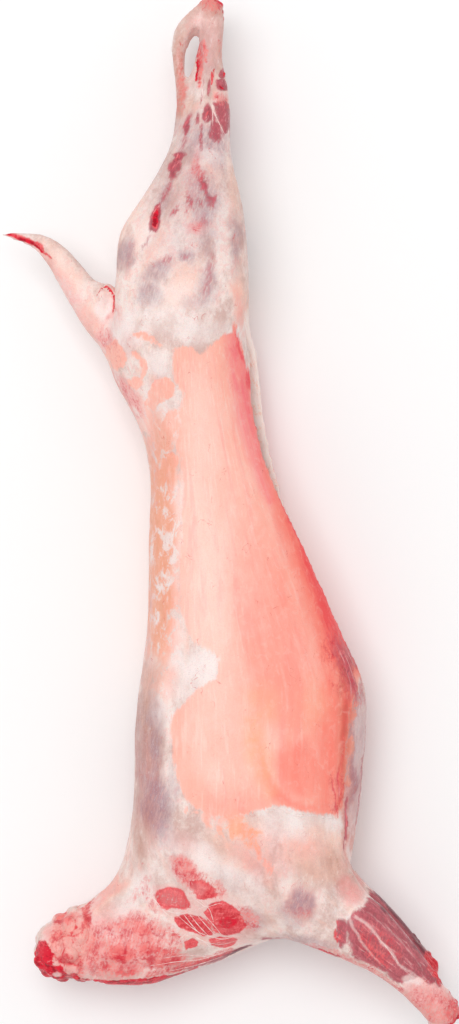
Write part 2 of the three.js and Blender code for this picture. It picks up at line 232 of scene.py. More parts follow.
LEG = (
    Streak(
        Tissue.BLOOD,
        ((199, 56), (197.5, 66), (195.5, 86)),
        (0.5, 1.3, 1.0),
        -0.8,
        fade=2.4,
        strength=0.8,
    ),
    Streak(Tissue.DABBLE, ((201, 48), (200, 66), (198, 92)), (1.5, 2.6, 2.0), fade=4.0, strength=0.8),
    Streak(Tissue.DABBLE, ((204.5, 45), (206, 56), (205, 66)), (1.2, 2.6, 1.2), fade=4, strength=0.75),
    Streak(Tissue.RAW, ((214.5, 74), (213, 82), (211, 91)), (0.9, 1.9, 0.9), -0.8, fade=2.0, strength=0.95),
    Streak(Tissue.LEAN, ((209, 84), (208.5, 92), (208, 100)), (1.0, 1.9, 1.2), -0.5, fade=3, strength=0.85),
    Streak(Tissue.LEAN, ((203, 78), (202, 94), (200.5, 110)), (0.8, 1.6, 1.0), -0.5, fade=3, strength=0.55),
    Spot(Tissue.LEAN, (223.5, 79), (4.0, 5.2), 20, 3),
    Spot(Tissue.LEAN, (222, 92), (6.0, 4.2), 0, 3),
    Spot(Tissue.BLOOD, (224.5, 80), (1.8, 3.2), 20, 3, 0.85),
    Spot(Tissue.BLOOD, (221, 93), (3.4, 1.8), 20, 3, 0.85),
    Spot(Tissue.BLOOD, (181.5, 48), (2.4, 2.2), 0, 4, 0.5),
    Spot(Tissue.BLOOD, (222, 18), (1.2, 2.4), 0, 2, 0.8),
    Patch(Tissue.DABBLE, ((213, 97), (229, 99), (230, 109), (216, 108)), 6, 0.55),
    Patch(
        Tissue.LEAN,
        ((213, 107), (222, 105), (232, 107), (232, 136), (226, 141), (219, 129), (213, 116)),
        5,
        0.86,
    ),
    Patch(Tissue.LEAN, ((208, 116), (214, 120), (222, 134), (225, 146), (216, 150), (211, 136)), 7, 0.84),
    Spot(Tissue.LEAN, (207, 120), (4.6, 11), 4, 4),
    Spot(Tissue.RAW, (207, 120), (2.4, 7), 4, 6, 0.5),
    Spot(Tissue.LEAN, (197.5, 125), (2.2, 7), 0, 4, 0.8),
    Spot(Tissue.LEAN, (187.5, 132), (2.8, 11), 12, 4, 0.95),
    Spot(Tissue.RAW, (188, 128), (1.2, 4), 12, 4, 0.3),
    Streak(Tissue.LEAN, ((186, 138), (184, 150), (181, 158)), (1.6, 2.6, 1.4), -0.4, fade=6, strength=0.55),
    Spot(Tissue.LEAN, (217, 142), (6, 8), -30, 6, 0.7),
    Spot(Tissue.BRUISE, (206, 150), (24, 16), -20, 14, 0.9),
    Spot(Tissue.BRUISE, (216, 148), (10, 12), -20, 8, 1.0),
    Spot(Tissue.LEAN, (223, 90), (7, 6), 10, 3, 1.0),
    Streak(
        Tissue.LEAN,
        ((203, 132), (201.5, 144), (201.5, 158)),
        (1.2, 2.2, 1.2),
        -0.5,
        fade=4,
        strength=0.72,
    ),
    Spot(Tissue.LEAN, (177.5, 172), (5.6, 17), 18, 6, 0.86),
    Spot(Tissue.LEAN, (178.5, 166), (5.0, 8), 22, 5, 1.0),
    Spot(Tissue.RAW, (178.5, 165), (2.6, 6), 22, 6, 0.55),
    Spot(Tissue.LEAN, (175.2, 179), (4.0, 8), 12, 5, 0.95),
    Spot(Tissue.RAW, (175, 180), (1.6, 5), 12, 5, 0.42),
    Streak(Tissue.LEAN, ((171, 188), (165, 202), (160, 210)), (2.6, 3.6, 2.0), -0.8, 1.4, 6, 0.6),
    Patch(
        Tissue.LEAN,
        ((160, 207), (163, 217), (162.5, 229), (158, 239), (150, 237), (152, 224), (156, 213)),
        3.5,
    ),
    Patch(
        Tissue.RAW,
        ((160, 210), (162, 217), (161.5, 228), (157.5, 236), (152, 234), (153, 224), (157, 214)),
        4,
        0.6,
    ),
    Patch(
        Tissue.BLOOD,
        ((159, 213), (160.6, 220), (160, 229), (156, 234), (153, 231), (155, 221)),
        2.5,
        0.9,
    ),
    Streak(Tissue.LEAN, ((151, 238), (147, 249), (142, 262)), (1.6, 2.4, 1.0), -1.2, 2.2, 5, 0.5),
    Spot(Tissue.LEAN, (204.5, 190), (4.4, 11), -14, 8, 0.84),
    Spot(Tissue.LEAN, (209, 206), (4.4, 10), -20, 8, 0.76),
    Spot(Tissue.LEAN, (197, 208), (4, 6), -20, 7, 0.5),
    Spot(Tissue.LEAN, (205, 228), (6, 10), 0, 9, 0.4),
    Spot(Tissue.LEAN, (165, 266), (10, 5), -38, 7, 0.42),
    Spot(Tissue.LEAN, (212, 262), (6, 10), 0, 9, 0.36),
    Spot(Tissue.ROSY, (199, 172), (5, 18), -8, 8, 0.9),
    Spot(Tissue.DABBLE, (202, 178), (3.0, 13), -10, 6, 0.3),
    Spot(Tissue.LEAN, (190, 208), (3.8, 7), -25, 7, 0.66),
    Spot(Tissue.LEAN, (175, 218), (3.0, 8), 28, 6, 0.66),
    Spot(Tissue.DABBLE, (188, 200), (22, 34), 10, 22, 0.12),
    Spot(Tissue.ROSY, (196, 232), (9, 8), 15, 8, 0.8),
    Spot(Tissue.DABBLE, (196, 231), (6, 5), 15, 8, 0.3),
    Spot(Tissue.LEAN, (208, 282), (7, 20), 6, 14, 0.42),
    Spot(Tissue.LEAN, (186, 261), (6, 4), -25, 6, 0.42),
    Spot(Tissue.BRUISE, (188, 216), (40, 66), 10, 30, 0.34),
    Spot(Tissue.BRUISE, (203, 206), (16, 34), -8, 18, 0.9),
    Streak(Tissue.LEAN, ((202, 182), (206, 200), (210, 216)), (1.0, 2.8, 1.2), -0.5, fade=6, strength=0.62),
    Streak(Tissue.LEAN, ((192, 200), (189, 210), (186, 222)), (0.8, 2.0, 0.8), -0.4, fade=6, strength=0.5),
    Streak(Tissue.DABBLE, ((197, 156), (195, 172), (196, 190)), (1.0, 2.4, 1.0), fade=6, strength=0.3),
    Spot(Tissue.BRUISE, (206, 244), (12, 22), 0, 16, 0.6),
    Spot(Tissue.BRUISE, (186, 261), (9, 7), -20, 8, 0.95),
    Spot(Tissue.BRUISE, (160, 276), (20, 9), -38, 12, 0.85),
    Spot(Tissue.BRUISE, (151, 300), (11, 12), 0, 12, 0.85),
    Spot(Tissue.BRUISE, (129, 257), (7, 15), 8, 9, 0.95),
    Spot(Tissue.BRUISE, (207, 290), (12, 20), 4, 14, 0.8),
    Spot(Tissue.BRUISE, (188, 306), (8, 9), 0, 10, 0.5),
    Spot(Tissue.BRUISE, (236, 244), (6, 26), 0, 9, 0.85),
    Spot(Tissue.TAN, (238, 240), (8, 40), 0, 9, 0.45),
    Spot(Tissue.BRUISE, (166, 200), (7, 26), 22, 9, 0.62),
    Spot(Tissue.BRUISE, (190, 146), (14, 26), 4, 12, 0.62),
    Spot(Tissue.BRUISE, (216, 154), (9, 26), -4, 12, 0.9),
    Spot(Tissue.BRUISE, (206, 62), (10, 26), 0, 10, 0.3),
    Spot(Tissue.TAN, (180, 80), (6, 50), 0, 6, 1.0),
    Spot(Tissue.TAN, (214, 50), (12, 44), 0, 10, 0.4),
    Spot(Tissue.TAN, (196, 100), (22, 60), 8, 20, 0.3),
    Spot(Tissue.TAN, (184, 180), (24, 50), 18, 20, 0.25),
    Spot(Tissue.TAN, (226, 60), (4, 40), 0, 6, 0.4),
    Spot(Tissue.TAN, (188, 28), (8, 16), 36, 8, 0.5),
    Spot(Tissue.TAN, (210, 14), (14, 12), 20, 10, 0.8),
    Spot(Tissue.TAN, (219, 44), (7, 22), 0, 8, 0.35),
    Spot(Tissue.TAN, (126, 262), (6, 14), 0, 8, 0.4),
    Spot(Tissue.TAN, (247, 268), (4, 50), -3, 5, 0.3),
    Streak(
        Tissue.BLOOD,
        ((203, 3), (212, 2.5), (221, 8), (225, 14)),
        (1.0, 1.8, 1.2),
        fade=3.0,
        strength=0.75,
    ),
    Spot(Tissue.DABBLE, (213, 9), (14, 10), 24, 9, 0.66),
    Spot(Tissue.DABBLE, (222, 44), (3, 22), 0, 5, 0.42),
    Spot(Tissue.DABBLE, (183, 92), (4, 26), 4, 6, 0.4),
    Spot(Tissue.ROSY, (206, 44), (16, 40), 0, 14, 0.42),
    Spot(Tissue.ROSY, (181, 84), (4, 30), 0, 6, 0.6),
    Spot(Tissue.ROSY, (220, 122), (8, 26), 0, 10, 0.5),
    Spot(Tissue.WARM, (213, 182), (8, 16), 0, 12, 0.5),
    Spot(Tissue.WARM, (158, 256), (8, 26), 24, 14, 0.5),
    Spot(Tissue.WARM, (182, 290), (12, 26), 30, 16, 0.8),
    Spot(Tissue.WARM, (130, 222), (8, 26), 30, 12, 0.5),
    Spot(Tissue.WARM, (143, 240), (5, 26), 26, 8, 0.6),
    Spot(Tissue.WARM, (234, 190), (8, 30), -6, 12, 0.6),
    Spot(Tissue.WARM, (241, 304), (8, 26), -4, 8, 1.0),
    Spot(Tissue.ROSY, (240, 312), (5, 22), -6, 7, 0.7),
    Spot(Tissue.MILK, (196, 96), (9, 8), 0, 8, 0.6),
    Spot(Tissue.MILK, (210, 162), (16, 7), 20, 8, 0.5),
    Spot(Tissue.MILK, (150, 326), (40, 14), 0, 14, 0.9),
    Spot(Tissue.MILK, (146, 240), (8, 16), 20, 10, 0.5),
    Spot(Tissue.MILK, (172, 300), (26, 10), -28, 12, 0.5),
    Spot(Tissue.MILK, (200, 334), (34, 12), 0, 12, 0.9),
)

TAIL_AND_RUMP = (
    Streak(
        Tissue.BLOOD,
        ((4, 234), (18, 237.5), (33, 243), (44, 252)),
        (0.9, 2.0, 1.0),
        -1.0,
        1.2,
        2.5,
        0.9,
    ),
    Streak(
        Tissue.RAW,
        ((2, 233), (14, 236), (28, 240), (40, 246), (52, 259)),
        (2.2, 3.0, 1.0),
        fade=4,
        strength=0.85,
    ),
    Streak(
        Tissue.ROSY,
        ((2, 233), (20, 238), (40, 250), (58, 276), (78, 304), (92, 322)),
        (4, 6, 8),
        fade=8,
        strength=0.6,
    ),
    Streak(Tissue.ROSY, ((52, 262), (62, 288), (78, 316), (100, 340)), (3, 5, 6), fade=6, strength=0.7),
    Spot(Tissue.WARM, (64, 268), (10, 30), -44, 14, 0.6),
    Spot(Tissue.WARM, (92, 318), (12, 16), -30, 12, 0.7),
    Spot(Tissue.ROSY, (108, 342), (9, 22), -24, 10, 0.85),
    Spot(Tissue.ROSY, (116, 318), (6, 30), -14, 8, 0.7),
    Streak(
        Tissue.RAW,
        ((97, 298), (100, 291), (106, 288.5), (111, 292), (114, 301), (114, 312)),
        (0.5, 1.2, 0.8),
        -1.6,
        fade=1.6,
    ),
    Streak(Tissue.BLOOD, ((100, 292), (106, 289), (111, 293), (114, 302)), (0.3, 0.8, 0.4), -0.8, fade=1.4),
    Spot(Tissue.MILK, (105, 310), (7, 12), 0, 6, 0.9),
    Spot(Tissue.BLEND, (117, 357), (9, 14), -14, 4),
    Streak(Tissue.BLEND, ((135, 355), (142, 360), (146, 370), (144, 379)), (2.6, 4.0, 3), fade=3),
    Spot(Tissue.BLEND, (137, 385), (9, 5.5), 10, 4),
    Patch(
        Tissue.BLEND,
        (
            (140, 410), (150, 396), (156, 383), (166, 378), (176, 386), (174, 398), (162, 407),
            (158, 416), (148, 408),
        ),
        3,
    ),
    Streak(Tissue.BLEND, ((137, 337), (152, 342), (162, 350)), (1.5, 3.5, 2), fade=4, strength=0.8),
    Spot(Tissue.BLEND, (172, 426), (7, 15), 24, 5),
    Spot(Tissue.BLEND, (170, 464), (8, 14), 8, 5),
    Spot(Tissue.BLEND, (160, 470), (4, 12), 0, 5, 0.8),
    Spot(Tissue.ROSY, (128, 398), (9, 26), -28, 8, 0.9),
    Spot(Tissue.DABBLE, (126, 396), (6, 24), -28, 10, 0.5),
    Spot(Tissue.DABBLE, (110, 340), (6, 16), -24, 10, 0.4),
    Spot(Tissue.MILK, (158, 366), (13, 12), 0, 8, 0.8),
    Spot(Tissue.MILK, (148, 402), (6, 10), 20, 6, 0.6),
    Spot(Tissue.BRUISE, (160, 372), (7, 8), 0, 8, 0.4),
    Patch(
        Tissue.MOTTLE,
        (
            (140, 400), (156, 414), (176, 425), (183, 480), (180, 560), (182, 640), (168, 660),
            (148, 655), (144, 560), (146, 470),
        ),
        22,
    ),
    Spot(Tissue.MOTTLE, (164, 676), (14, 20), 0, 18, 0.6),
    Spot(Tissue.MILK, (174, 616), (12, 24), 0, 10, 0.8),
    Spot(Tissue.WARM, (160, 560), (16, 110), 2, 16, 0.9),
    Spot(Tissue.MILK, (164, 540), (16, 150), 2, 12, 0.8),
    Spot(Tissue.MILK, (128, 338), (18, 14), 0, 10, 0.9),
    Spot(Tissue.ROSY, (126, 344), (14, 14), 0, 12, 0.5),
    Spot(Tissue.TAN, (158, 540), (18, 150), 2, 12, 0.5),
    Spot(Tissue.ROSY, (152, 500), (5, 90), 0, 6, 0.7),
    Spot(Tissue.ROSY, (149, 600), (8, 60), 3, 9, 0.7),
)

RIBS = (
    Patch(
        Tissue.FELL,
        (
            (172, 352), (186, 349), (193, 350), (201, 357), (210, 349), (225, 337), (231, 334), (234, 325),
            (240, 344), (247, 368), (255, 392), (262, 412), (268, 440), (276, 470), (290, 505), (306, 540),
            (326, 580), (348, 630), (362, 672), (355, 690), (350, 708), (347, 728), (345, 752),
            (343, 780), (341, 804),
            (335, 812), (318, 809), (303, 806), (288, 802), (273, 799), (262, 803), (250, 806),
            (232, 812), (214, 810),
            (197, 803), (186, 792), (180, 780), (175, 758), (173, 740), (172, 716), (186, 698), (201, 683),
            (217, 674), (219, 655), (212, 647), (197, 640), (188, 630), (180, 600), (181, 550),
            (184, 480), (177, 445),
            (181, 413), (184, 396), (175, 379),
        ),
    ),
    Streak(
        Tissue.BLEND,
        ((216, 806), (240, 818), (258, 842), (270, 862)),
        (14, 9, 3),
        fade=22,
        strength=0.62,
    ),
    Streak(Tissue.BLEND, ((196, 806), (214, 818), (236, 832)), (8, 7, 3), fade=16, strength=0.55),
    Spot(Tissue.PALE_AND_HIGHLIGHT, (196, 470), (14, 110), 3, 26, 0.75),
    Spot(Tissue.PALE_AND_HIGHLIGHT, (212, 440), (10, 70), -6, 22, 0.5),
    Spot(Tissue.PALE_AND_HIGHLIGHT, (208, 590), (26, 100), 4, 40, 1.0),
    Spot(Tissue.PALE_AND_HIGHLIGHT, (240, 570), (20, 80), -14, 40, 0.45),
    Spot(Tissue.PALE_AND_HIGHLIGHT, (226, 660), (20, 36), 0, 30, 0.5),
    Spot(Tissue.PALE_AND_HIGHLIGHT, (220, 740), (34, 40), 0, 34, 0.45),
    Streak(Tissue.WARM, ((252, 716), (257, 750), (268, 784)), (7, 11, 6), fade=18, strength=0.9),
    Spot(Tissue.WARM, (262, 700), (16, 20), 0, 20, 0.6),
    Spot(Tissue.WARM, (312, 700), (14, 26), 0, 20, 0.4),
    Spot(Tissue.MILK, (296, 816), (38, 8), 6, 8, 1.0),
    Spot(Tissue.DABBLE, (336, 788), (7, 20), 0, 8, 0.42),
    Streak(Tissue.RAW, ((329, 764), (332, 788), (337, 812)), (0.4, 1.0, 0.6), -0.4, fade=2.4, strength=0.7),
    Streak(
        Tissue.RAW,
        ((340, 750), (336, 774), (338, 800)),
        (0.4, 1.1, 0.6),
        -0.4,
        fade=2.4,
        strength=0.75,
    ),
    Streak(Tissue.RAW, ((155, 512), (158, 503), (163, 495)), (0.4, 0.9, 0.4), fade=2.4, strength=0.7),
    Streak(Tissue.RAW, ((160, 476), (163, 466), (166, 460)), (0.4, 0.9, 0.4), fade=2.4, strength=0.6),
    # Painted highlight: a pale streak beside the red streak along the near flank.
    Streak(Tissue.PALE_AND_HIGHLIGHT, ((284, 520), (298, 560), (302, 590)), (1.0, 4.0, 2.0), fade=8, strength=0.5),
    Streak(
        Tissue.FLANK,
        (
            (240, 330), (248, 368), (256, 402), (264, 430), (273, 460), (285, 492), (298, 528),
            (310, 556), (323, 590),
            (336, 620), (347, 650),
        ),
        (6, 14, 26),
        fade=42,
    ),
    Streak(
        Tissue.FLANK,
        ((235, 334), (246, 372), (256, 412), (268, 452), (286, 500), (304, 544), (322, 586), (338, 626)),
        (1.6, 5.5, 8),
        fade=7,
        strength=1.3,
    ),
    Streak(
        Tissue.FLANK,
        ((332, 640), (332, 700), (328, 760), (324, 806)),
        (12, 20, 10),
        fade=60,
        strength=0.72,
    ),
    Streak(
        Tissue.FLANK,
        ((348, 650), (345, 700), (341, 750), (338, 800)),
        (8, 7, 3),
        fade=16,
        strength=0.95,
    ),
    Streak(Tissue.TAN, ((346, 660), (346, 710), (343, 760), (341, 806)), (10, 8, 4), fade=12, strength=0.9),
    Streak(Tissue.BLEND, ((353, 700), (348, 730), (345, 780)), (3, 5, 3), fade=7, strength=0.62),
    Spot(Tissue.FLANK, (280, 640), (44, 120), -14, 60, 0.36),
    Spot(Tissue.FLANK, (306, 764), (34, 36), -20, 36, 0.5),
    Streak(
        Tissue.FLANK,
        ((258, 734), (260, 750), (265, 770), (276, 789), (300, 803), (326, 804)),
        (0, 7, 4),
        fade=20,
        strength=0.56,
    ),
    Spot(Tissue.FLANK, (236, 800), (36, 24), 0, 36, 0.25),
    Spot(Tissue.FLANK, (252, 834), (10, 26), -30, 14, 0.4),
    Streak(
        Tissue.ROSE,
        ((232, 336), (237, 368), (243, 402), (251, 440), (260, 476), (270, 500)),
        (5, 12, 3),
        fade=14,
        strength=0.66,
    ),
    Spot(Tissue.LEAN, (348, 668), (8, 30), -16, 20, 0.92),
    Streak(Tissue.LEAN, ((340, 650), (350, 680), (356, 702)), (3, 5, 2), fade=8, strength=0.6),
    Spot(Tissue.DABBLE, (340, 664), (12, 40), -20, 22, 0.4),
    Patch(
        Tissue.MILK,
        (
            (360, 684), (367, 720), (365, 780), (358, 840), (350, 860), (349, 820), (353, 780),
            (352, 730), (354, 704),
        ),
        6,
        0.5,
    ),
    Spot(Tissue.BRUISE, (354, 750), (9, 66), 2, 9, 1.0),
    Spot(Tissue.TAN, (354, 770), (9, 90), 6, 9, 1.0),
    Spot(Tissue.ROSY, (352, 780), (9, 80), 4, 7, 0.7),
    Spot(Tissue.TAN, (364, 730), (4, 50), 2, 6, 0.7),
    Spot(Tissue.TAN, (206, 832), (60, 14), 24, 22, 0.2),
    Spot(Tissue.TAN, (148, 750), (15, 110), 3, 14, 0.85),
    Spot(Tissue.WARM, (148, 700), (10, 50), 3, 14, 0.4),
    Spot(Tissue.ROSY, (150, 790), (12, 50), -4, 14, 0.4),
    Streak(
        Tissue.LEAN,
        ((345.5, 796), (346.5, 820), (344, 846)),
        (0.8, 1.6, 0.8),
        -0.8,
        fade=3,
        strength=0.9,
    ),
    Streak(Tissue.RAW, ((346, 802), (347, 818), (345, 834)), (0.4, 1.0, 0.5), fade=3, strength=0.6),
    Streak(Tissue.LEAN, ((350, 796), (354, 788), (359, 780)), (1.4, 3.0, 1.6), fade=6, strength=0.55),
    Streak(Tissue.LEAN, ((355, 760), (353, 772), (350, 778)), (1.4, 3.4, 1.6), fade=8, strength=0.5),
    Streak(
        Tissue.LEAN,
        ((365, 728), (363.5, 752), (361.5, 780), (359, 802)),
        (1.0, 1.8, 1.2),
        fade=4,
        strength=0.9,
    ),
    Spot(Tissue.BLOOD, (357, 818), (1.8, 8), 10, 4, 0.7),
    Streak(Tissue.LEAN, ((359, 800), (356, 816), (354, 828)), (1.4, 2.2, 1.0), fade=4, strength=0.9),
    Streak(
        Tissue.MILK,
        ((258, 806), (268, 802), (284, 806), (300, 812), (318, 814), (333, 816)),
        (3, 5, 3),
        0.5,
        fade=4,
    ),
    Streak(
        Tissue.SINEW,
        ((262, 805), (270, 801), (284, 805), (298, 810), (314, 811), (331, 814)),
        (0.6, 1.5, 0.8),
        0.5,
    ),
    Streak(
        Tissue.MILK,
        ((219, 655), (217, 674), (200, 686), (184, 702), (172, 716)),
        (3, 4, 3),
        0.5,
        fade=5,
        strength=0.9,
    ),
    Spot(Tissue.MILK, (190, 670), (32, 24), -24, 12, 1.0),
    Spot(Tissue.MILK, (164, 700), (8, 24), 10, 10, 0.6),
    Spot(Tissue.BRUISE, (156, 730), (7, 50), 2, 9, 0.85),
    Spot(Tissue.BRUISE, (142, 740), (8, 60), 2, 9, 0.5),
    Spot(Tissue.TAN, (138, 720), (6, 90), 2, 8, 0.6),
    Spot(Tissue.BRUISE, (158, 800), (15, 36), -10, 14, 1.0),
    Spot(Tissue.BRUISE, (174, 800), (5, 50), 0, 6, 0.5),
)

SHOULDER = (
    Spot(Tissue.MILK, (206, 850), (34, 12), 26, 12, 0.8),
    Spot(Tissue.MILK, (246, 880), (22, 12), 40, 12, 0.6),
    Spot(Tissue.MILK, (136, 890), (12, 26), 36, 12, 1.0),
    Spot(Tissue.MILK, (170, 868), (14, 10), 40, 10, 0.5),
    Spot(Tissue.MILK, (286, 824), (30, 8), 10, 10, 0.8),
    Spot(Tissue.WARM, (232, 846), (26, 14), 30, 14, 0.8),
    Spot(Tissue.WARM, (316, 846), (34, 26), 30, 18, 0.8),
    Spot(Tissue.WARM, (112, 890), (8, 24), 44, 8, 0.8),
    Spot(Tissue.WARM, (246, 826), (24, 16), 30, 16, 0.8),
    Spot(Tissue.ROSY, (250, 856), (26, 10), 46, 14, 0.7),
    Spot(Tissue.ROSY, (300, 838), (22, 12), 20, 14, 0.5),
    Spot(Tissue.ROSY, (186, 838), (20, 8), 20, 12, 0.5),
    Spot(Tissue.ROSY, (350, 884), (16, 12), 44, 10, 0.9),
    Spot(Tissue.ROSY, (104, 894), (6, 26), 50, 8, 0.9),
    Spot(Tissue.TAN, (342, 868), (14, 26), -40, 12, 0.7),
    Spot(Tissue.ROSY, (300, 896), (16, 17), 0, 9, 0.45),
    Spot(Tissue.TAN, (300, 900), (16, 17), 0, 12, 0.5),
    Spot(Tissue.TAN, (232, 900), (60, 30), 30, 20, 0.2),
    Spot(Tissue.ROSY, (184, 862), (16, 12), 30, 12, 0.95),
    Spot(Tissue.ROSY, (172, 893), (20, 13), 14, 8, 0.9),
    Spot(Tissue.MILK, (172, 893), (18, 11), 14, 8, 0.46),
    Spot(Tissue.MILK, (200, 880), (12, 8), 40, 8, 0.5),
    Spot(Tissue.ROSY, (212, 912), (44, 26), 24, 16, 0.55),
    Spot(Tissue.ROSY, (268, 846), (26, 30), 30, 20, 0.5),
    Spot(Tissue.TAN, (306, 870), (26, 14), 10, 16, 0.4),
    Spot(Tissue.TAN, (272, 900), (20, 20), 0, 14, 0.3),
    Spot(Tissue.BRUISE, (300, 896), (13, 15), 0, 9, 1.0),
    Spot(Tissue.BRUISE, (296, 906), (18, 16), 0, 12, 0.5),
    Spot(Tissue.BRUISE, (250, 912), (18, 12), 0, 10, 0.5),
    Spot(Tissue.BRUISE, (226, 870), (20, 10), 40, 12, 0.35),
    Spot(Tissue.BRUISE, (306, 934), (30, 6), 8, 6, 0.7),
    Spot(Tissue.DABBLE, (302, 906), (8, 8), 0, 8, 0.3),
    Streak(Tissue.LEAN, ((262, 933), (278, 935), (296, 938)), (2.0, 3.4, 1.6), -0.6, fade=4, strength=0.9),
    Streak(Tissue.LEAN, ((300, 939), (320, 944), (338, 951)), (1.0, 2.0, 1.6), -0.6, fade=4, strength=0.75),
    Streak(Tissue.BLOOD, ((312, 941), (326, 946), (336, 950)), (0.6, 1.6, 1.0), fade=3, strength=0.8),
    Spot(Tissue.DABBLE, (320, 944), (18, 5), 16, 6, 0.5),
    Patch(
        Tissue.RAW,
        ((189, 872), (200, 870), (209, 875), (217, 887), (212, 893), (202, 890), (192, 880)),
        6,
        0.92,
    ),
    Patch(
        Tissue.DABBLE,
        ((170, 850), (184, 848), (198, 860), (210, 874), (196, 884), (178, 876)),
        14,
        0.62,
    ),
    Streak(Tissue.DABBLE, ((140, 884), (150, 896), (158, 908)), (1.4, 3.0, 1.4), fade=7, strength=0.5),
    Patch(
        Tissue.RAW,
        (
            (153, 890), (160, 883), (172, 881), (184, 884), (190, 893), (193, 902), (182, 905),
            (168, 904), (158, 900),
        ),
        4,
        0.74,
    ),
    Patch(
        Tissue.RAW,
        ((174, 913), (188, 909), (200, 910), (210, 920), (214, 930), (204, 931), (190, 927), (180, 922)),
        3,
        0.96,
    ),
    Patch(
        Tissue.RAW,
        (
            (203, 906), (211, 896), (222, 894), (232, 897), (240, 908), (246, 920), (240, 928),
            (226, 930), (216, 926), (208, 916),
        ),
        4,
        0.98,
    ),
    Spot(Tissue.BLOOD, (226, 916), (10, 8), 20, 8, 0.55),
    Spot(Tissue.BLOOD, (204, 922), (12, 4), 20, 6, 0.5),
    Spot(Tissue.DABBLE, (246, 912), (12, 12), 0, 10, 0.6),
    Spot(Tissue.DABBLE, (216, 884), (12, 8), 30, 8, 0.4),
    Patch(Tissue.RAW, ((184, 937), (194, 933), (199, 937), (197, 943), (187, 944)), 3, 0.95),
    Patch(Tissue.RAW, ((210, 934), (222, 931), (236, 934), (234, 942), (222, 945), (212, 941)), 3, 0.92),
    Spot(Tissue.DABBLE, (142, 886), (6, 18), 40, 8, 0.3),
)

NECK = (
    Patch(
        Tissue.DABBLE,
        (
            (86, 928), (104, 918), (128, 912), (150, 912), (172, 922), (186, 936), (184, 958),
            (166, 968), (140, 972),
            (110, 974), (90, 970),
        ),
        16,
        0.56,
    ),
    Spot(Tissue.DABBLE, (141, 926), (14, 9), 0, 10, 0.85),
    Spot(Tissue.DABBLE, (120, 948), (15, 11), 0, 9, 1.0),
    Spot(Tissue.DABBLE, (98, 946), (7, 20), 0, 10, 0.7),
    Spot(Tissue.DABBLE, (148, 944), (14, 8), 0, 8, 0.92),
    Spot(Tissue.DABBLE, (164, 956), (24, 8), -6, 8, 0.95),
    Spot(Tissue.RAW, (168, 946), (16, 5), 4, 8, 0.62),
    Spot(Tissue.RAW, (119, 949), (9, 6), 0, 7, 0.9),
    Spot(Tissue.RAW, (150, 945), (8, 5), 0, 7, 0.7),
    Spot(Tissue.MILK, (108, 929), (9, 6), 0, 8, 0.7),
    Spot(Tissue.LEAN, (164, 960), (26, 6), -6, 8, 0.6),
    Spot(Tissue.DABBLE, (68, 938), (18, 20), 0, 10, 0.2),
    Spot(Tissue.RAW, (146, 926), (8, 5), 0, 8, 0.55),
    Spot(Tissue.RAW, (176, 930), (9, 3), 24, 5, 0.6),
    Spot(Tissue.ROSY, (112, 940), (52, 36), 0, 26, 0.9),
    Spot(Tissue.ROSY, (70, 944), (30, 34), 0, 10, 1.0),
    Spot(Tissue.WARM, (72, 940), (24, 26), 0, 10, 0.8),
    Streak(
        Tissue.BLOOD,
        ((56, 980), (90, 981), (120, 980), (150, 978), (176, 974), (196, 966)),
        (6.0, 3.6, 1.4),
        fade=4,
        strength=0.98,
    ),
    Streak(
        Tissue.LEAN,
        ((176, 966), (200, 962), (226, 953), (250, 944)),
        (3.0, 4.0, 1.6),
        -0.8,
        fade=5,
        strength=0.95,
    ),
    Streak(Tissue.DABBLE, ((150, 972), (190, 962), (230, 948)), (4.0, 4.0, 2.0), fade=5, strength=0.7),
    Spot(Tissue.BLOOD, (42, 960), (11, 22), 8, 5, 1.0),
    Spot(Tissue.BLOOD, (54, 974), (16, 10), 20, 6, 1.0),
    Spot(Tissue.BLOOD, (78, 978), (20, 6), 4, 6, 1.0),
    Spot(Tissue.DABBLE, (66, 915), (11, 4), 4, 5, 0.95),
    Spot(Tissue.DABBLE, (86, 914), (4, 13), 4, 5, 0.95),
    Spot(Tissue.DABBLE, (60, 932), (10, 4), -14, 5, 0.8),
    Spot(Tissue.DABBLE, (66, 957), (12, 5), 10, 6, 0.85),
    Spot(Tissue.DABBLE, (82, 962), (4, 14), 0, 6, 0.7),
    Streak(
        Tissue.RAW,
        ((56, 936), (64, 929), (74, 933), (86, 927)),
        (0.5, 1.2, 0.6),
        -1.2,
        fade=3,
        strength=0.7,
    ),
    Streak(
        Tissue.RAW,
        ((63, 930), (66, 944), (61, 957), (67, 968)),
        (0.5, 1.3, 0.9),
        -1.2,
        fade=3,
        strength=0.7,
    ),
    Streak(
        Tissue.RAW,
        ((78, 936), (83, 948), (79, 960), (85, 972)),
        (0.5, 1.1, 0.8),
        -1.2,
        fade=3,
        strength=0.62,
    ),
    Streak(
        Tissue.RAW,
        ((52, 950), (62, 960), (74, 961), (88, 967)),
        (0.8, 1.4, 0.8),
        -1.2,
        fade=3,
        strength=0.72,
    ),
    Spot(Tissue.RAW, (106, 962), (7, 4), -20, 8, 0.6),
    Spot(Tissue.RAW, (128, 968), (16, 4), 0, 8, 0.7),
    Spot(Tissue.DEEP_AND_SHADE, (74, 976), (7, 2), 0, 4, 0.8),
    Spot(Tissue.MILK, (58, 972), (5, 3), 20, 4, 0.9),
    Spot(Tissue.DEEP_AND_SHADE, (236, 950), (16, 2.2), -24, 3, 0.8),
    Spot(Tissue.RAW, (97, 934), (2.4, 6), 0, 6, 0.5),
)

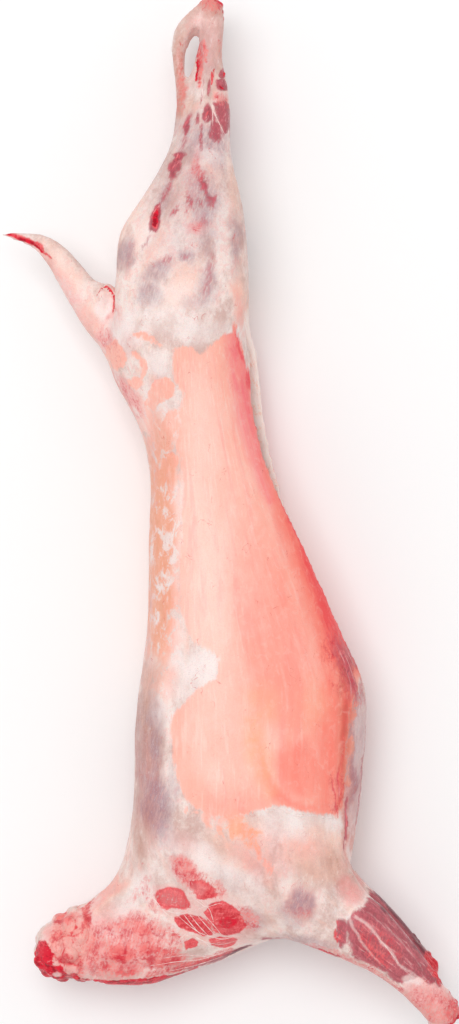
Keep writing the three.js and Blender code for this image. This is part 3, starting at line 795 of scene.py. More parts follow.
FORELEG = (
    Patch(
        Tissue.LEAN,
        (
            (343, 916), (350, 908), (364, 898), (371, 893), (384, 899), (398, 910), (413, 927),
            (426, 944), (443, 962),
            (440, 978), (428, 980), (416, 972), (400, 976), (382, 964), (366, 955), (350, 948), (346, 932),
        ),
        9,
        0.96,
    ),
    Spot(Tissue.DABBLE, (376, 936), (30, 14), 42, 14, 0.3),
    Patch(
        Tissue.RAW,
        ((350, 923), (358, 925), (372, 938), (385, 956), (384, 962), (370, 953), (357, 941)),
        8,
        0.46,
    ),
    Patch(Tissue.LEAN, ((333, 911), (341, 909), (347, 918), (345, 936), (338, 942), (332, 928)), 6, 0.86),
    Spot(Tissue.RAW, (338, 926), (4, 13), 0, 6, 0.4),
    Streak(Tissue.RAW, ((334, 912), (332.5, 924), (336, 938)), (1.0, 1.6, 1.0), fade=3, strength=0.7),
    Streak(
        Tissue.DABBLE,
        ((340, 950), (360, 960), (384, 974), (398, 984)),
        (3.0, 5.0, 3.0),
        fade=6,
        strength=0.6,
    ),
    # Painted shade: a dark maroon strip down the side of the near foreleg that turns away.
    Streak(
        Tissue.DEEP_AND_SHADE,
        ((370, 892), (388, 905), (404, 922), (420, 944), (434, 962)),
        (1.0, 5.4, 3.0),
        fade=7,
    ),
    Spot(Tissue.LEAN, (404, 938), (22, 10), 50, 12, 0.9),
    Spot(Tissue.MILK, (388, 925), (16, 4), 48, 8, 0.36),
    Spot(Tissue.RAW, (434, 968), (5, 13), -34, 5, 0.95),
    Spot(Tissue.BLOOD, (438, 966), (2.4, 12), -34, 4, 0.7),
    Spot(Tissue.MILK, (408, 974), (10, 5), 30, 6, 0.9),
    Streak(
        Tissue.MILK,
        ((347, 910), (350, 918), (358, 934), (372, 950), (384, 962)),
        (2.4, 1.8, 0.8),
        -0.8,
        1.4,
        4,
        0.72,
    ),
    Streak(
        Tissue.MILK,
        ((354, 910), (366, 918), (382, 938), (396, 956), (414, 970)),
        (2.2, 2.2, 1.4),
        -0.8,
        1.2,
        4,
        0.78,
    ),
    Streak(
        Tissue.MILK,
        ((364, 906), (388, 922), (408, 946), (420, 966)),
        (1.2, 1.8, 1.2),
        -0.6,
        1.4,
        4,
        0.6,
    ),
    Spot(Tissue.ROSY, (426, 994), (30, 22), 40, 12, 1.0),
    Spot(Tissue.DABBLE, (436, 1002), (22, 18), 40, 14, 0.44),
    Spot(Tissue.DABBLE, (412, 992), (10, 12), 40, 8, 0.3),
    Spot(Tissue.RAW, (450, 1006), (10, 14), 0, 12, 0.66),
    Streak(
        Tissue.BLOOD,
        ((450, 986), (458, 998), (459, 1008), (450, 1017), (436, 1021)),
        (1.6, 3.0, 1.8),
        fade=4,
        strength=0.8,
    ),
)

GROOVES = (
    Streak(None, ((204, 100), (201, 130), (196, 165), (188, 200)), (2.4, 3, 5), -1.8),
    Streak(None, ((191, 84), (192, 112), (186, 150), (176, 175)), (2.4, 3, 4), -1.8),
    Streak(None, ((212.5, 98), (212, 125), (210, 160)), (2, 2.4, 3), -1.6),
    Streak(None, ((199.5, 44), (200, 66), (197, 90)), (1.8, 2, 2.4), -1.8),
    Streak(None, ((207, 40), (208, 66), (207, 92)), (1.6, 1.8, 1.8), -1.2),
    Streak(None, ((216, 60), (218, 80), (214, 100)), (1.6, 1.8, 1.8), -1.2),
    Streak(None, ((181, 168), (168, 198), (157, 226), (146, 252), (134, 276)), (4, 4, 6), -2.4),
    Streak(None, ((212, 178), (206, 214), (192, 252), (168, 290), (146, 312)), (5, 7, 8), -1.8),
    Streak(None, ((228, 160), (226, 210), (232, 260), (240, 300)), (5, 6, 5), -1.0),
    Streak(None, ((150, 330), (172, 344), (200, 347), (226, 335)), (6, 8, 6), -1.2),
    Streak(None, ((116, 338), (128, 360), (140, 392), (152, 420)), (6, 8, 8), -1.6),
    Streak(None, ((104, 286), (110, 300), (108, 316), (98, 326)), (2, 2.5, 3), -2.4),
    Streak(None, ((186, 834), (214, 850), (246, 872), (264, 898)), (6, 9, 8), -2.0),
    Streak(None, ((150, 850), (176, 880), (190, 905)), (5, 6, 5), -1.6),
    Streak(None, ((330, 862), (344, 890), (340, 930)), (4, 6, 5), -2.2),
    Streak(None, ((346, 870), (338, 884), (330, 892)), (2, 3, 2), -1.6),
    Streak(None, ((352, 878), (345, 893), (337, 902)), (2, 3, 2), -1.4),
    Streak(None, ((88, 908), (92, 930), (90, 960), (94, 980)), (3, 4, 4), -1.6),
    Streak(None, ((104, 960), (150, 962), (200, 952), (240, 940)), (4, 5, 4), -2.4),
    Streak(None, ((150, 906), (176, 912), (206, 934), (240, 932)), (2, 2.5, 2), -1.0),
    Streak(None, ((186, 470), (186, 560), (180, 640)), (7, 9, 8), -0.8),
    Streak(None, ((150, 840), (200, 800), (250, 812), (300, 850)), (14, 18, 16), 1.6),
)

REGIONS = LEG + TAIL_AND_RUMP + RIBS + SHOULDER + NECK + FORELEG

STRANDS = (
    ((150, 889), (158, 897), (166, 908), (176, 914)),
    ((158, 902), (176, 908), (196, 904), (210, 897)),
    ((176, 907), (186, 917), (200, 928), (222, 935), (246, 929)),
    ((184, 908), (192, 919), (203, 932)),
    ((190, 908), (199, 920), (210, 932)),
    ((196, 907), (206, 919), (216, 931)),
    ((203, 906), (213, 918), (222, 930)),
    ((166, 926), (184, 929), (204, 936), (216, 949), (230, 944)),
    ((176, 931), (192, 929), (206, 938), (222, 941), (246, 934)),
    ((150, 962), (176, 958), (200, 957), (226, 950)),
    ((162, 954), (186, 951), (210, 954), (240, 944)),
    ((196, 893), (206, 901), (220, 896)),
    ((170, 968), (196, 963), (224, 954)),
    ((200, 893), (210, 902), (214, 916)),
    ((372, 926), (384, 940), (396, 956)),
    ((211, 110), (216, 122), (225, 140)),
    ((212, 104), (213, 116), (213, 132)),
    ((203, 88), (203, 102), (204, 118)),
)


@dataclass(frozen=True)
class Hollow:
    """The gutted inside: where its wall lies on the chart, in millimetres, from chest to pelvis."""

    heights: tuple[float, ...] = (-410, -345, -262, -150, -42, 8, 52, 112, 160, 196)
    backs: tuple[float, ...] = (-38, -60, -61, -46, -44, -42, -42, -66, -76, -62)
    bellies: tuple[float, ...] = (92, 118, 133, 117, 70, 45, 32, 20, 14, 4)
    widths: tuple[float, ...] = (73, 124, 158, 154, 132, 118, 116, 104, 62, 22)
    neck_end: float = -416
    loin_end: float = 202
    end_fade: float = 6

    def nearness(self, points: np.ndarray) -> np.ndarray:
        """How surely each point is on the hollow's wall, from 0 to 1.

        Args:
            points: X, Y and Z of each point, in metres.

        Returns:
            One share for each point.
        """
        x, y, z = points.T * 1000
        back = np.interp(y, self.heights, self.backs)
        belly = np.interp(y, self.heights, self.bellies)
        width = np.interp(y, self.heights, self.widths)
        across = (x - (back + belly) / 2) / ((belly - back) / 2)
        up = (z - Chart.MIDDLE * 1000) / (width / 2)
        inside = smooth((1.1 - np.hypot(across, up)) / 0.06)
        inside = inside * smooth((y - self.neck_end) / self.end_fade)
        return inside * smooth((self.loin_end - y) / self.end_fade)


class Surface:
    """A mesh held as arrays while it is shaped and painted."""

    EVEN_IN = 0.5
    EVEN_OUT = -0.51

    def __init__(self, mesh: bpy.types.Mesh) -> None:
        """Takes the mesh's points and edges.

        Args:
            mesh: the mesh that is worked on.
        """
        self.mesh = mesh
        flat = np.zeros(len(mesh.vertices) * 3, np.float32)
        mesh.vertices.foreach_get("co", flat)
        self.points = flat.reshape(-1, 3).astype(float)
        flat = np.zeros(len(mesh.edges) * 2, np.int32)
        mesh.edges.foreach_get("vertices", flat)
        self.ends = flat.reshape(-1, 2)
        self.degree = np.maximum(np.bincount(self.ends.ravel(), minlength=len(self.points)), 1)

    def write(self) -> None:
        """Puts the points back into the mesh."""
        self.mesh.vertices.foreach_set("co", self.points.astype(np.float32).ravel())
        self.mesh.update()

    def normals(self) -> np.ndarray:
        """The normals at the present points.

        Returns:
            One unit vector for each point.
        """
        self.write()
        flat = np.zeros(len(self.points) * 3, np.float32)
        self.mesh.vertex_normals.foreach_get("vector", flat)
        return flat.reshape(-1, 3).astype(float)

    def averaged(self, values: np.ndarray) -> np.ndarray:
        """Each point's value replaced by the mean of its neighbours'.

        Args:
            values: one value for each point.

        Returns:
            The evened values.
        """
        count = len(self.points)
        first, second = self.ends.T
        total = np.bincount(first, values[second], count)
        total = total + np.bincount(second, values[first], count)
        return total / self.degree

    def even(self, rounds: int) -> None:
        """Takes the facets out without shrinking the limbs."""
        for turn in range(rounds * 2):
            middles = np.stack([self.averaged(self.points[:, axis]) for axis in range(3)], axis=1)
            share = self.EVEN_IN if turn % 2 == 0 else self.EVEN_OUT
            self.points += share * (middles - self.points)

    def noise(self, scale: float, detail: int, seed: float, along: float = 0.75) -> np.ndarray:
        """A cloudy value around 0 at each point, a little longer along the carcass."""
        stretched = self.points * (scale, scale * along, scale) + seed
        return np.array([noise.fractal(Vector(place), 1.0, 2.0, detail) for place in stretched])

    def creases(self) -> np.ndarray:
        """How deep each point lies in a fold, about 1 in the sharpest.

        Returns:
            One share for each point.
        """
        middles = np.stack([self.averaged(self.points[:, axis]) for axis in range(3)], axis=1)
        spans = np.linalg.norm(self.points[self.ends[:, 0]] - self.points[self.ends[:, 1]], axis=1)
        depth = np.einsum("ij,ij->i", middles - self.points, self.normals()) / spans.mean()
        for _ in range(2):
            depth = 0.5 * depth + 0.5 * self.averaged(depth)
        return depth * 6

    def relief(self) -> np.ndarray:
        """The height of the grooves, ridges and muscles on the chart, in millimetres.

        Returns:
            One height for each point.
        """
        cells = Chart.cells(self.points)
        height = np.zeros(len(cells))
        for streak in GROOVES + tuple(r for r in REGIONS if isinstance(r, Streak) and r.relief):
            height += streak.height(cells)
        lean = np.zeros(len(cells))
        for region in REGIONS:
            if region.tissue is Tissue.LEAN:
                lean = np.maximum(lean, smooth(region.depth(cells) / 5))
        return height + 0.9 * lean

    def warped(self, cells: np.ndarray) -> np.ndarray:
        """The cells moved by noise, so that patches lose their plain outlines.

        Faces that turn sideways get up to four times the movement.

        Args:
            cells: column and row of each point.

        Returns:
            The moved cells.
        """
        moved = cells.copy()
        loose = 1 + 3 * (1 - np.abs(self.normals()[:, 2])) ** 3
        for scale, reach in ((38.0, 5.0), (130.0, 2.4), (330.0, 1.3)):
            drift = [noise.noise_vector(Vector(place)) for place in self.points * scale]
            moved += (reach * loose)[:, None] * np.array(drift)[:, :2]
        return moved

    def paint(self, folds: np.ndarray | None = None) -> None:
        """Writes each tissue's place into the mesh's attributes.

        Args:
            folds: how deep each point lies in a fold, if it was measured before the mesh was evened.
        """
        cells = Chart.cells(self.points)
        warped = self.warped(cells)
        for tissue in Tissue:
            regions = [region for region in REGIONS if region.tissue is tissue]
            if tissue.soft:
                value = np.zeros(len(cells))
                for region in regions:
                    small = isinstance(region, Streak) or region.fade < 5
                    depth = region.depth(0.55 * cells + 0.45 * warped if small else warped)
                    cover = smooth((depth + region.fade / 2) / region.fade)
                    value = np.maximum(value, region.strength * cover)
            else:
                value = np.full(len(cells), -40.0)
                for region in regions:
                    value = np.maximum(value, region.depth(cells))
                value = np.clip(value * Chart.CELL * 1000, -40, 40)
            self.store(tissue.value, value)
        wall = Hollow().nearness(self.points)
        self.store("inside", wall)
        self.store("rim", self.rim(cells) * (1 - wall))
        # How deep each point sits in a fold; the finish paints shade there.
        self.store("crease", np.clip(self.creases() * 0.5 if folds is None else folds, -1, 1))

    def rim(self, cells: np.ndarray) -> np.ndarray:
        """How surely each point is on the inner face of one of the belly's flaps, from 0 to 1.

        Args:
            cells: column and row of each point.

        Returns:
            One share for each point.
        """
        above = self.points[:, 2] - Chart.MIDDLE
        inward = -self.normals()[:, 2] * np.sign(above)
        rows = smooth((cells[:, 1] - 300) / 20) * smooth((640 - cells[:, 1]) / 40)
        share = smooth((inward + 0.1) / 0.3) * smooth((np.abs(above) - 0.003) / 0.006)
        return share * rows * smooth((cells[:, 0] - 225) / 12) * (above < 0)

    def store(self, name: str, values: np.ndarray) -> None:
        """Keeps one value a point as an attribute."""
        layer = self.mesh.attributes.new(name, "FLOAT", "POINT")
        layer.data.foreach_set("value", values.astype(np.float32))


def place_piece(mesh: bpy.types.Mesh, name: str) -> bpy.types.Object:
    """Puts a finished mesh in the scene as a piece of the carcass.

    Args:
        mesh: the finished mesh.
        name: the piece's name.

    Returns:
        The piece, riding on the frame.
    """
    for polygon in mesh.polygons:
        polygon.use_smooth = True
    piece = bpy.data.objects.new(name, mesh)
    bpy.context.collection.objects.link(piece)
    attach(piece, "root")
    LOG.info("%s: %d points, %d faces", name, len(mesh.vertices), len(mesh.polygons))
    return piece


def applied(source: bpy.types.Object, name: str) -> bpy.types.Mesh:
    """The mesh of an object with its modifiers applied. The object is removed.

    Args:
        source: the object, which is removed.
        name: what the mesh is called.

    Returns:
        The finished mesh.
    """
    graph = bpy.context.evaluated_depsgraph_get()
    mesh = bpy.data.meshes.new_from_object(source.evaluated_get(graph))
    mesh.name = name
    bpy.data.objects.remove(source)
    return mesh


def tubes(name: str, paths: list[list[tuple[Vector, float]]]) -> bpy.types.Mesh:
    """Tapered round cords along paths.

    Args:
        name: the mesh's name.
        paths: for each cord its points, each with a radius in metres.

    Returns:
        Their mesh.
    """
    curve = bpy.data.curves.new(name, "CURVE")
    curve.dimensions = "3D"
    curve.bevel_depth = 1.0
    curve.bevel_resolution = 2
    curve.use_fill_caps = True
    for path in paths:
        spline = curve.splines.new("POLY")
        spline.points.add(len(path) - 1)
        for point, (place, radius) in zip(spline.points, path):
            point.co = (*place, 1.0)
            point.radius = radius
    holder = bpy.data.objects.new(name, curve)
    bpy.context.collection.objects.link(holder)
    return applied(holder, name)


@dataclass
class Skin:
    """The carcass's surface: remeshed from the solid, evened, given its muscles and painted."""

    voxel: float = 0.00452
    crease_angle: float = 62.0
    even_rounds: int = 12
    seed: int = 7
    name: str = "carcass_skin"
    tree: BVHTree | None = None

    def build(self) -> bpy.types.Object:
        """Makes the piece.

        Returns:
            The finished object, which stands for the carcass's solid.
        """
        mesh = self.remeshed(self.merged_copy())
        surface = Surface(mesh)
        surface.even(self.even_rounds)
        self.open_slots(surface)
        surface.write()
        self.refine(mesh)
        surface = Surface(mesh)
        surface.even(2)
        self.sculpt(surface)
        surface.write()
        surface.paint()
        piece = place_piece(mesh, self.name)
        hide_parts("carcass")
        shape = bmesh.new()
        shape.from_mesh(mesh)
        self.tree = BVHTree.FromBMesh(shape)
        shape.free()
        return piece

    def merged_copy(self) -> bpy.types.Object:
        """A copy of the solid with its corners merged, its sharp edges creased and its flaps rolled.

        Returns:
            The copy, as a new object.
        """
        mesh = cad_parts["carcass"].data.copy()
        copy = bpy.data.objects.new("solid_copy", mesh)
        bpy.context.collection.objects.link(copy)
        shape = bmesh.new()
        shape.from_mesh(mesh)
        bmesh.ops.remove_doubles(shape, verts=shape.verts, dist=0.00002)
        crease = shape.edges.layers.float.get("crease_edge") or shape.edges.layers.float.new("crease_edge")
        for edge in shape.edges:
            if len(edge.link_faces) == 2 and edge.calc_face_angle(0) > math.radians(self.crease_angle):
                edge[crease] = 0.6
        rolls = self.flap_rolls(BVHTree.FromBMesh(shape))
        shape.from_mesh(rolls)
        shape.to_mesh(mesh)
        shape.free()
        return copy

    def flap_rolls(self, solid: BVHTree) -> bpy.types.Mesh:
        """The rounded rims of the two flaps of the belly.

        Args:
            solid: the solid that they lie on.

        Returns:
            Their mesh.
        """
        paths = []
        for side, first, last, thick in ((-1, 300, 596, 0.0046), (1, 344, 640, 0.0026)):
            path = []
            for row in range(first, last, 7):
                y = Chart.place(0, row)[1]
                hit = solid.ray_cast(Vector((0.4, y, Chart.MIDDLE + side * 0.031)), Vector((-1, 0, 0)))[0]
                if hit is None:
                    continue
                lumpy = 1 + 0.45 * noise.noise(Vector((side, row * 0.09, 0)))
                fade = min(1.0, (row - first) / 30 + 0.2, (last - row) / 30 + 0.2)
                path.append((hit - Vector((thick * 0.7, 0, 0)), thick * lumpy * fade))
            paths.append(path)
        return tubes("flap_rolls", paths)

    def remeshed(self, copy: bpy.types.Object) -> bpy.types.Mesh:
        """An even mesh over the copy, rounded first.

        Args:
            copy: the merged copy of the solid, which is removed.

        Returns:
            The new mesh.
        """
        rounded = copy.modifiers.new("rounded", "SUBSURF")
        rounded.levels = rounded.render_levels = 2
        even = copy.modifiers.new("even", "REMESH")
        even.mode = "VOXEL"
        even.voxel_size = self.voxel
        return applied(copy, self.name)

    def open_slots(self, surface: Surface) -> None:
        """Draws out the ends of the slots behind the heel tendons, which the even mesh rounds off.

        Args:
            surface: the evened skin, whose points are moved.
        """
        cells = Chart.cells(surface.points)
        for centre, radius, shift in (((190, 73), 7.0, (-1.0, 6.5)), ((196, 39), 6.0, (0.8, -4.0))):
            share = np.exp(-((np.linalg.norm(cells - centre, axis=1) / radius) ** 2))
            surface.points[:, 0] += share * shift[0] * Chart.CELL
            surface.points[:, 1] -= share * shift[1] * Chart.CELL

    def refine(self, mesh: bpy.types.Mesh) -> None:
        """Coarser faces in the hollow, and finer ones on the shanks, the neck and the forelegs.

        Args:
            mesh: the evened skin, which is changed in place.
        """
        holder = bpy.data.objects.new("refined", mesh.copy())
        bpy.context.collection.objects.link(holder)
        inner = Hollow().nearness(Surface(mesh).points)
        group = holder.vertex_groups.new(name="inner")
        group.add([int(index) for index in np.flatnonzero(inner > 0.5)], 1.0, "REPLACE")
        fewer = holder.modifiers.new("fewer", "DECIMATE")
        fewer.ratio = 1 - 0.8 * float((inner > 0.5).mean())
        fewer.vertex_group = "inner"
        coarse = applied(holder, "coarse")
        shape = bmesh.new()
        shape.from_mesh(coarse)
        chosen = []
        for edge in shape.edges:
            middle = (edge.verts[0].co + edge.verts[1].co) / 2
            column, row = Chart.cells(np.array([middle]))[0]
            shank = 20 < row < 158 and column > 172
            thigh = 158 <= row < 240 and 140 < column < 216
            neck = row > 846 and column < 262
            arm = row > 888 and column > 326
            tip = column < 52
            fold = 282 < row < 316 and 92 < column < 120
            brisket = 640 < row < 860 and column > 324
            flap = 316 < row < 640 and column > 222 + 0.4 * (row - 316)
            shown = middle.z > Chart.MIDDLE - 0.012
            if shown and (shank or thigh or neck or arm or tip or fold or brisket or flap):
                chosen.append(edge)
        bmesh.ops.subdivide_edges(shape, edges=chosen, cuts=1, use_grid_fill=True)
        shape.to_mesh(mesh)
        shape.free()

    def sculpt(self, surface: Surface) -> None:
        """Presses in the grooves between muscles, and raises their bellies and folds.

        Args:
            surface: the evened skin, whose points are moved.
        """
        normal = surface.normals()
        cells = Chart.cells(surface.points)
        height = surface.relief()
        neck_end = smooth((150 - cells[:, 0]) / 60) * smooth((cells[:, 1] - 880) / 30)
        slow = surface.noise(15, 3, self.seed)
        fine = surface.noise(62, 2, -self.seed)
        height += (0.9 + 2.0 * neck_end) * slow + (0.4 + 1.2 * neck_end) * fine
        height *= 1 - Hollow().nearness(surface.points)
        low = smooth((surface.points[:, 2] - 0.001) / 0.012)
        surface.points += normal * (height * low / 1000)[:, None]
        surface.points[:, 2] = np.maximum(surface.points[:, 2], 0.0)


@dataclass(frozen=True)
class Cluster:
    """A heap of soft lobes on the skin, the same on both sides.

    Each lobe is a column and a row of the chart, a level above the middle in millimetres, and a radius.
    """

    name: str
    lobes: tuple[tuple[float, float, float, float], ...]
    far_shift: Point = (0.0, 0.0)
    voxel: float = 0.0019
    rough: float = 0.5
    sunk: float = 0.5

    def build(self, tree: BVHTree, rng: np.random.Generator) -> bpy.types.Object:
        """Makes the piece.

        Args:
            tree: the skin that it sits on.
            rng: the seeded source of small differences.

        Returns:
            The piece.
        """
        shape = bmesh.new()
        for column, row, level, radius in self.lobes:
            for side in (1, -1):
                shift = self.far_shift if side < 0 else (0.0, 0.0)
                x, y = Chart.place(column + shift[0], row + shift[1])
                near, normal, _, _ = tree.find_nearest(Vector((x, y, Chart.MIDDLE + side * level / 1000)))
                sizes = radius / 1000 * rng.uniform(0.7, 1.25, 3)
                turn = Matrix.Rotation(rng.uniform(0, 6), 4, Vector(rng.normal(size=3)).normalized())
                centre = near - normal * float(sizes.mean()) * self.sunk
                matrix = Matrix.Translation(centre) @ turn @ Matrix.Diagonal((*sizes, 1.0))
                bmesh.ops.create_icosphere(shape, subdivisions=3, radius=1.0, matrix=matrix)
        mesh = bpy.data.meshes.new(self.name)
        shape.to_mesh(mesh)
        shape.free()
        holder = bpy.data.objects.new(self.name, mesh)
        bpy.context.collection.objects.link(holder)
        joined = holder.modifiers.new("joined", "REMESH")
        joined.mode = "VOXEL"
        joined.voxel_size = self.voxel
        mesh = applied(holder, self.name)
        surface = Surface(mesh)
        surface.even(1)
        folds = surface.creases()
        surface.even(7)
        bumps = self.rough * (surface.noise(60, 3, 3.0) + 0.6 * surface.noise(190, 2, 9.0))
        surface.points += surface.normals() * (bumps / 1000)[:, None]
        surface.points[:, 2] = np.maximum(surface.points[:, 2], 0.0)
        surface.write()
        surface.paint(folds)
        return place_piece(mesh, self.name)


CLUSTERS = (
    Cluster(
        "neck_lobes",
        (
            (84, 920, 30, 13), (69, 922, 26, 15), (58, 930, 16, 13), (80, 934, 42, 15), (66, 938, 38, 15),
            (86, 950, 46, 12), (72, 953, 42, 14), (60, 952, 34, 12), (90, 966, 42, 11), (76, 968, 40, 12),
            (62, 968, 34, 12), (62, 924, 2, 14), (78, 920, 6, 13), (54, 940, 8, 14), (48, 954, 4, 16),
            (47, 962, 18, 15), (52, 956, 26, 13), (48, 968, 6, 15), (58, 974, 22, 13), (62, 978, 8, 13),
            (76, 977, 24, 11), (80, 979, 8, 11), (96, 976, 26, 9), (102, 979, 8, 9),
        ),
        rough=0.9,
        sunk=0.74,
    ),
    Cluster(
        "knee_ends",
        (
            (447, 986, 48, 10), (453, 996, 40, 9), (453, 996, 56, 9), (453, 1007, 48, 10),
            (446, 1013, 38, 9),
            (446, 1013, 58, 9), (434, 1016, 48, 10), (426, 1012, 40, 8), (426, 1012, 56, 8),
            (442, 1000, 66, 9),
            (430, 1004, 66, 8), (442, 1000, 30, 9), (430, 1004, 30, 8), (434, 968, 58, 7),
            (437, 975, 52, 7),
        ),
        (-12.8, -30.6),
        rough=0.6,
        sunk=0.76,
    ),
    Cluster(
        "hock_ends",
        (
            (208, 5, 38, 7), (215, 4, 44, 7), (215, 4, 32, 7), (221, 9, 38, 7), (224, 16, 44, 6),
            (224, 16, 32, 6),
            (203, 9, 38, 6), (210, 10, 50, 6), (218, 18, 52, 6), (210, 10, 26, 6), (218, 18, 24, 6),
        ),
        rough=0.6,
        sunk=0.78,
    ),
    Cluster(
        "elbow_folds",
        (
            (335, 947, 70, 6), (341, 950, 66, 5), (328, 945, 68, 5), (352, 868, 62, 7), (346, 861, 58, 6),
            (358, 876, 66, 6), (226, 76, 46, 4.5), (225, 84, 48, 4), (222, 93, 52, 4.5), (227, 92, 44, 4),
        ),
        rough=0.5,
        sunk=0.8,
    ),
)


@dataclass(frozen=True)
class Sinews:
    """White strands of fascia that lie on the muscles, on both sides."""

    radius: float = 0.00052
    step: float = 0.0025

    def build(self, tree: BVHTree, rng: np.random.Generator) -> bpy.types.Object:
        """Makes the piece.

        Args:
            tree: the skin that they lie on.
            rng: the seeded source of small differences.

        Returns:
            The piece.
        """
        paths = []
        for corners in STRANDS:
            spots = self.eased(np.array([Chart.place(*corner) for corner in corners]))
            for side in (1, -1):
                path = []
                for index, (x, y) in enumerate(spots):
                    origin = Vector((x, y, Chart.MIDDLE + side * 0.3))
                    hit = tree.ray_cast(origin, Vector((0, 0, -side)))
                    if hit[0] is None:
                        continue
                    share = index / (len(spots) - 1)
                    width = self.radius * (0.3 + 0.7 * math.sin(math.pi * share)) * rng.uniform(0.6, 1.4)
                    path.append((hit[0] - hit[1] * width * 0.35, width))
                if len(path) > 3:
                    paths.append(path)
        return place_piece(tubes("sinew_strands", paths), "sinew_strands")

    def eased(self, corners: np.ndarray) -> np.ndarray:
        """The corners joined by a soft line with even steps.

        Args:
            corners: the line's points, in cells.

        Returns:
            The points of the soft line, in cells.
        """
        along = np.concatenate([[0], np.cumsum(np.linalg.norm(np.diff(corners, axis=0), axis=1))])
        places = np.linspace(0, along[-1], max(4, int(along[-1] / self.step)))
        line = np.stack([np.interp(places, along, corners[:, axis]) for axis in range(2)], axis=1)
        for _ in range(3):
            line[1:-1] = (line[:-2] + 2 * line[1:-1] + line[2:]) / 4
        return line


class Nodes:
    """A short hand for a material's or a group's node tree."""

    IN_A_ROW = 12
    ACROSS = 190
    DOWN = 260

    def __init__(self, tree: bpy.types.NodeTree) -> None:
        """Starts with an empty tree."""
        self.tree = tree
        self.tree.nodes.clear()
        self.count = 0

    def add(self, kind: str, inputs: dict | None = None, **settings: object) -> bpy.types.Node:
        """Adds a node.

        Args:
            kind: the node's type.
            inputs: a value or a socket for each named or numbered input.
            settings: the node's own properties.

        Returns:
            The node.
        """
        node = self.tree.nodes.new(kind)
        row, place = divmod(self.count, self.IN_A_ROW)
        node.location = (place * self.ACROSS, -row * self.DOWN)
        self.count += 1
        for name, value in settings.items():
            setattr(node, name, value)
        for key, value in (inputs or {}).items():
            if isinstance(value, bpy.types.NodeSocket):
                self.tree.links.new(value, node.inputs[key])
            else:
                node.inputs[key].default_value = value
        return node

    def math(
        self, operation: str, first: object, second: object = 0.0, clamp: bool = False
    ) -> bpy.types.NodeSocket:
        """One sum of two values."""
        node = self.add("ShaderNodeMath", {0: first, 1: second}, operation=operation, use_clamp=clamp)
        return node.outputs[0]

    def attribute(self, name: str) -> bpy.types.NodeSocket:
        """A value from the mesh's attribute."""
        return self.add("ShaderNodeAttribute", attribute_name=name).outputs["Fac"]

    def position(
        self, scale: tuple[float, float, float] = (1, 1, 1), turn: float = 0.0
    ) -> bpy.types.NodeSocket:
        """The place on the piece, stretched, and turned in the chart's plane by some degrees.

        Args:
            scale: how much the place is stretched along each axis.
            turn: degrees about the chart's normal.

        Returns:
            The place, as a vector.
        """
        place = self.add("ShaderNodeTexCoord").outputs["Object"]
        if turn:
            place = self.add(
                "ShaderNodeMapping", {0: place, "Rotation": (0, 0, math.radians(turn))}
            ).outputs[0]
        return self.add("ShaderNodeMapping", {0: place, "Scale": scale}).outputs[0]

    def noise(
        self,
        vector: bpy.types.NodeSocket,
        scale: float,
        detail: float = 3.0,
        rough: float = 0.55,
        warp: float = 0.0,
    ) -> bpy.types.NodeSocket:
        """A noise between 0 and 1.

        Args:
            vector: the place that is read.
            scale: how fine the noise is.
            detail: how many finer layers it has.
            rough: how strong the finer layers are.
            warp: how much the noise bends itself.

        Returns:
            The noise's value.
        """
        node = self.add(
            "ShaderNodeTexNoise",
            {"Vector": vector, "Scale": scale, "Detail": detail, "Roughness": rough, "Distortion": warp},
        )
        return node.outputs["Fac"]

    def step(self, value: object, low: float, high: float) -> bpy.types.NodeSocket:
        """0 below low, 1 above high, eased between.

        Args:
            value: what is read.
            low: where the result leaves 0.
            high: where it reaches 1.

        Returns:
            The eased value.
        """
        node = self.add(
            "ShaderNodeMapRange",
            {"Value": value, "From Min": low, "From Max": high},
            interpolation_type="SMOOTHSTEP",
        )
        return node.outputs["Result"]

    def mix(self, share: object, first: object, second: object) -> bpy.types.NodeSocket:
        """A colour between two colours.

        Args:
            share: how much of the second.
            first: the colour at 0.
            second: the colour at 1.

        Returns:
            The mixed colour.
        """
        node = self.add("ShaderNodeMix", data_type="RGBA")
        for key, value in ((0, share), (6, first), (7, second)):
            if isinstance(value, bpy.types.NodeSocket):
                self.tree.links.new(value, node.inputs[key])
            else:
                node.inputs[key].default_value = value
        return node.outputs[2]

    def group(self, tree: bpy.types.NodeTree, inputs: dict) -> bpy.types.Node:
        """Places a shared group.

        Args:
            tree: the shared group.
            inputs: values or sockets, by the input's name.

        Returns:
            The group's node.
        """
        node = self.tree.nodes.new("ShaderNodeGroup")
        node.node_tree = tree
        for key, value in inputs.items():
            if isinstance(value, bpy.types.NodeSocket):
                self.tree.links.new(value, node.inputs[key])
            else:
                node.inputs[key].default_value = value
        return node


def colour(red: int, green: int, blue: int) -> tuple[float, float, float, float]:
    """A colour given as it is seen, from 0 to 255, as the shader needs it.

    Args:
        red: red from 0 to 255.
        green: green from 0 to 255.
        blue: blue from 0 to 255.

    Returns:
        Red, green, blue and alpha from 0 to 1.
    """

    def straight(value: float) -> float:
        """One channel without the screen's curve."""
        share = value / 255
        return share / 12.92 if share <= 0.04045 else ((share + 0.055) / 1.055) ** 2.4

    return straight(red), straight(green), straight(blue), 1.0


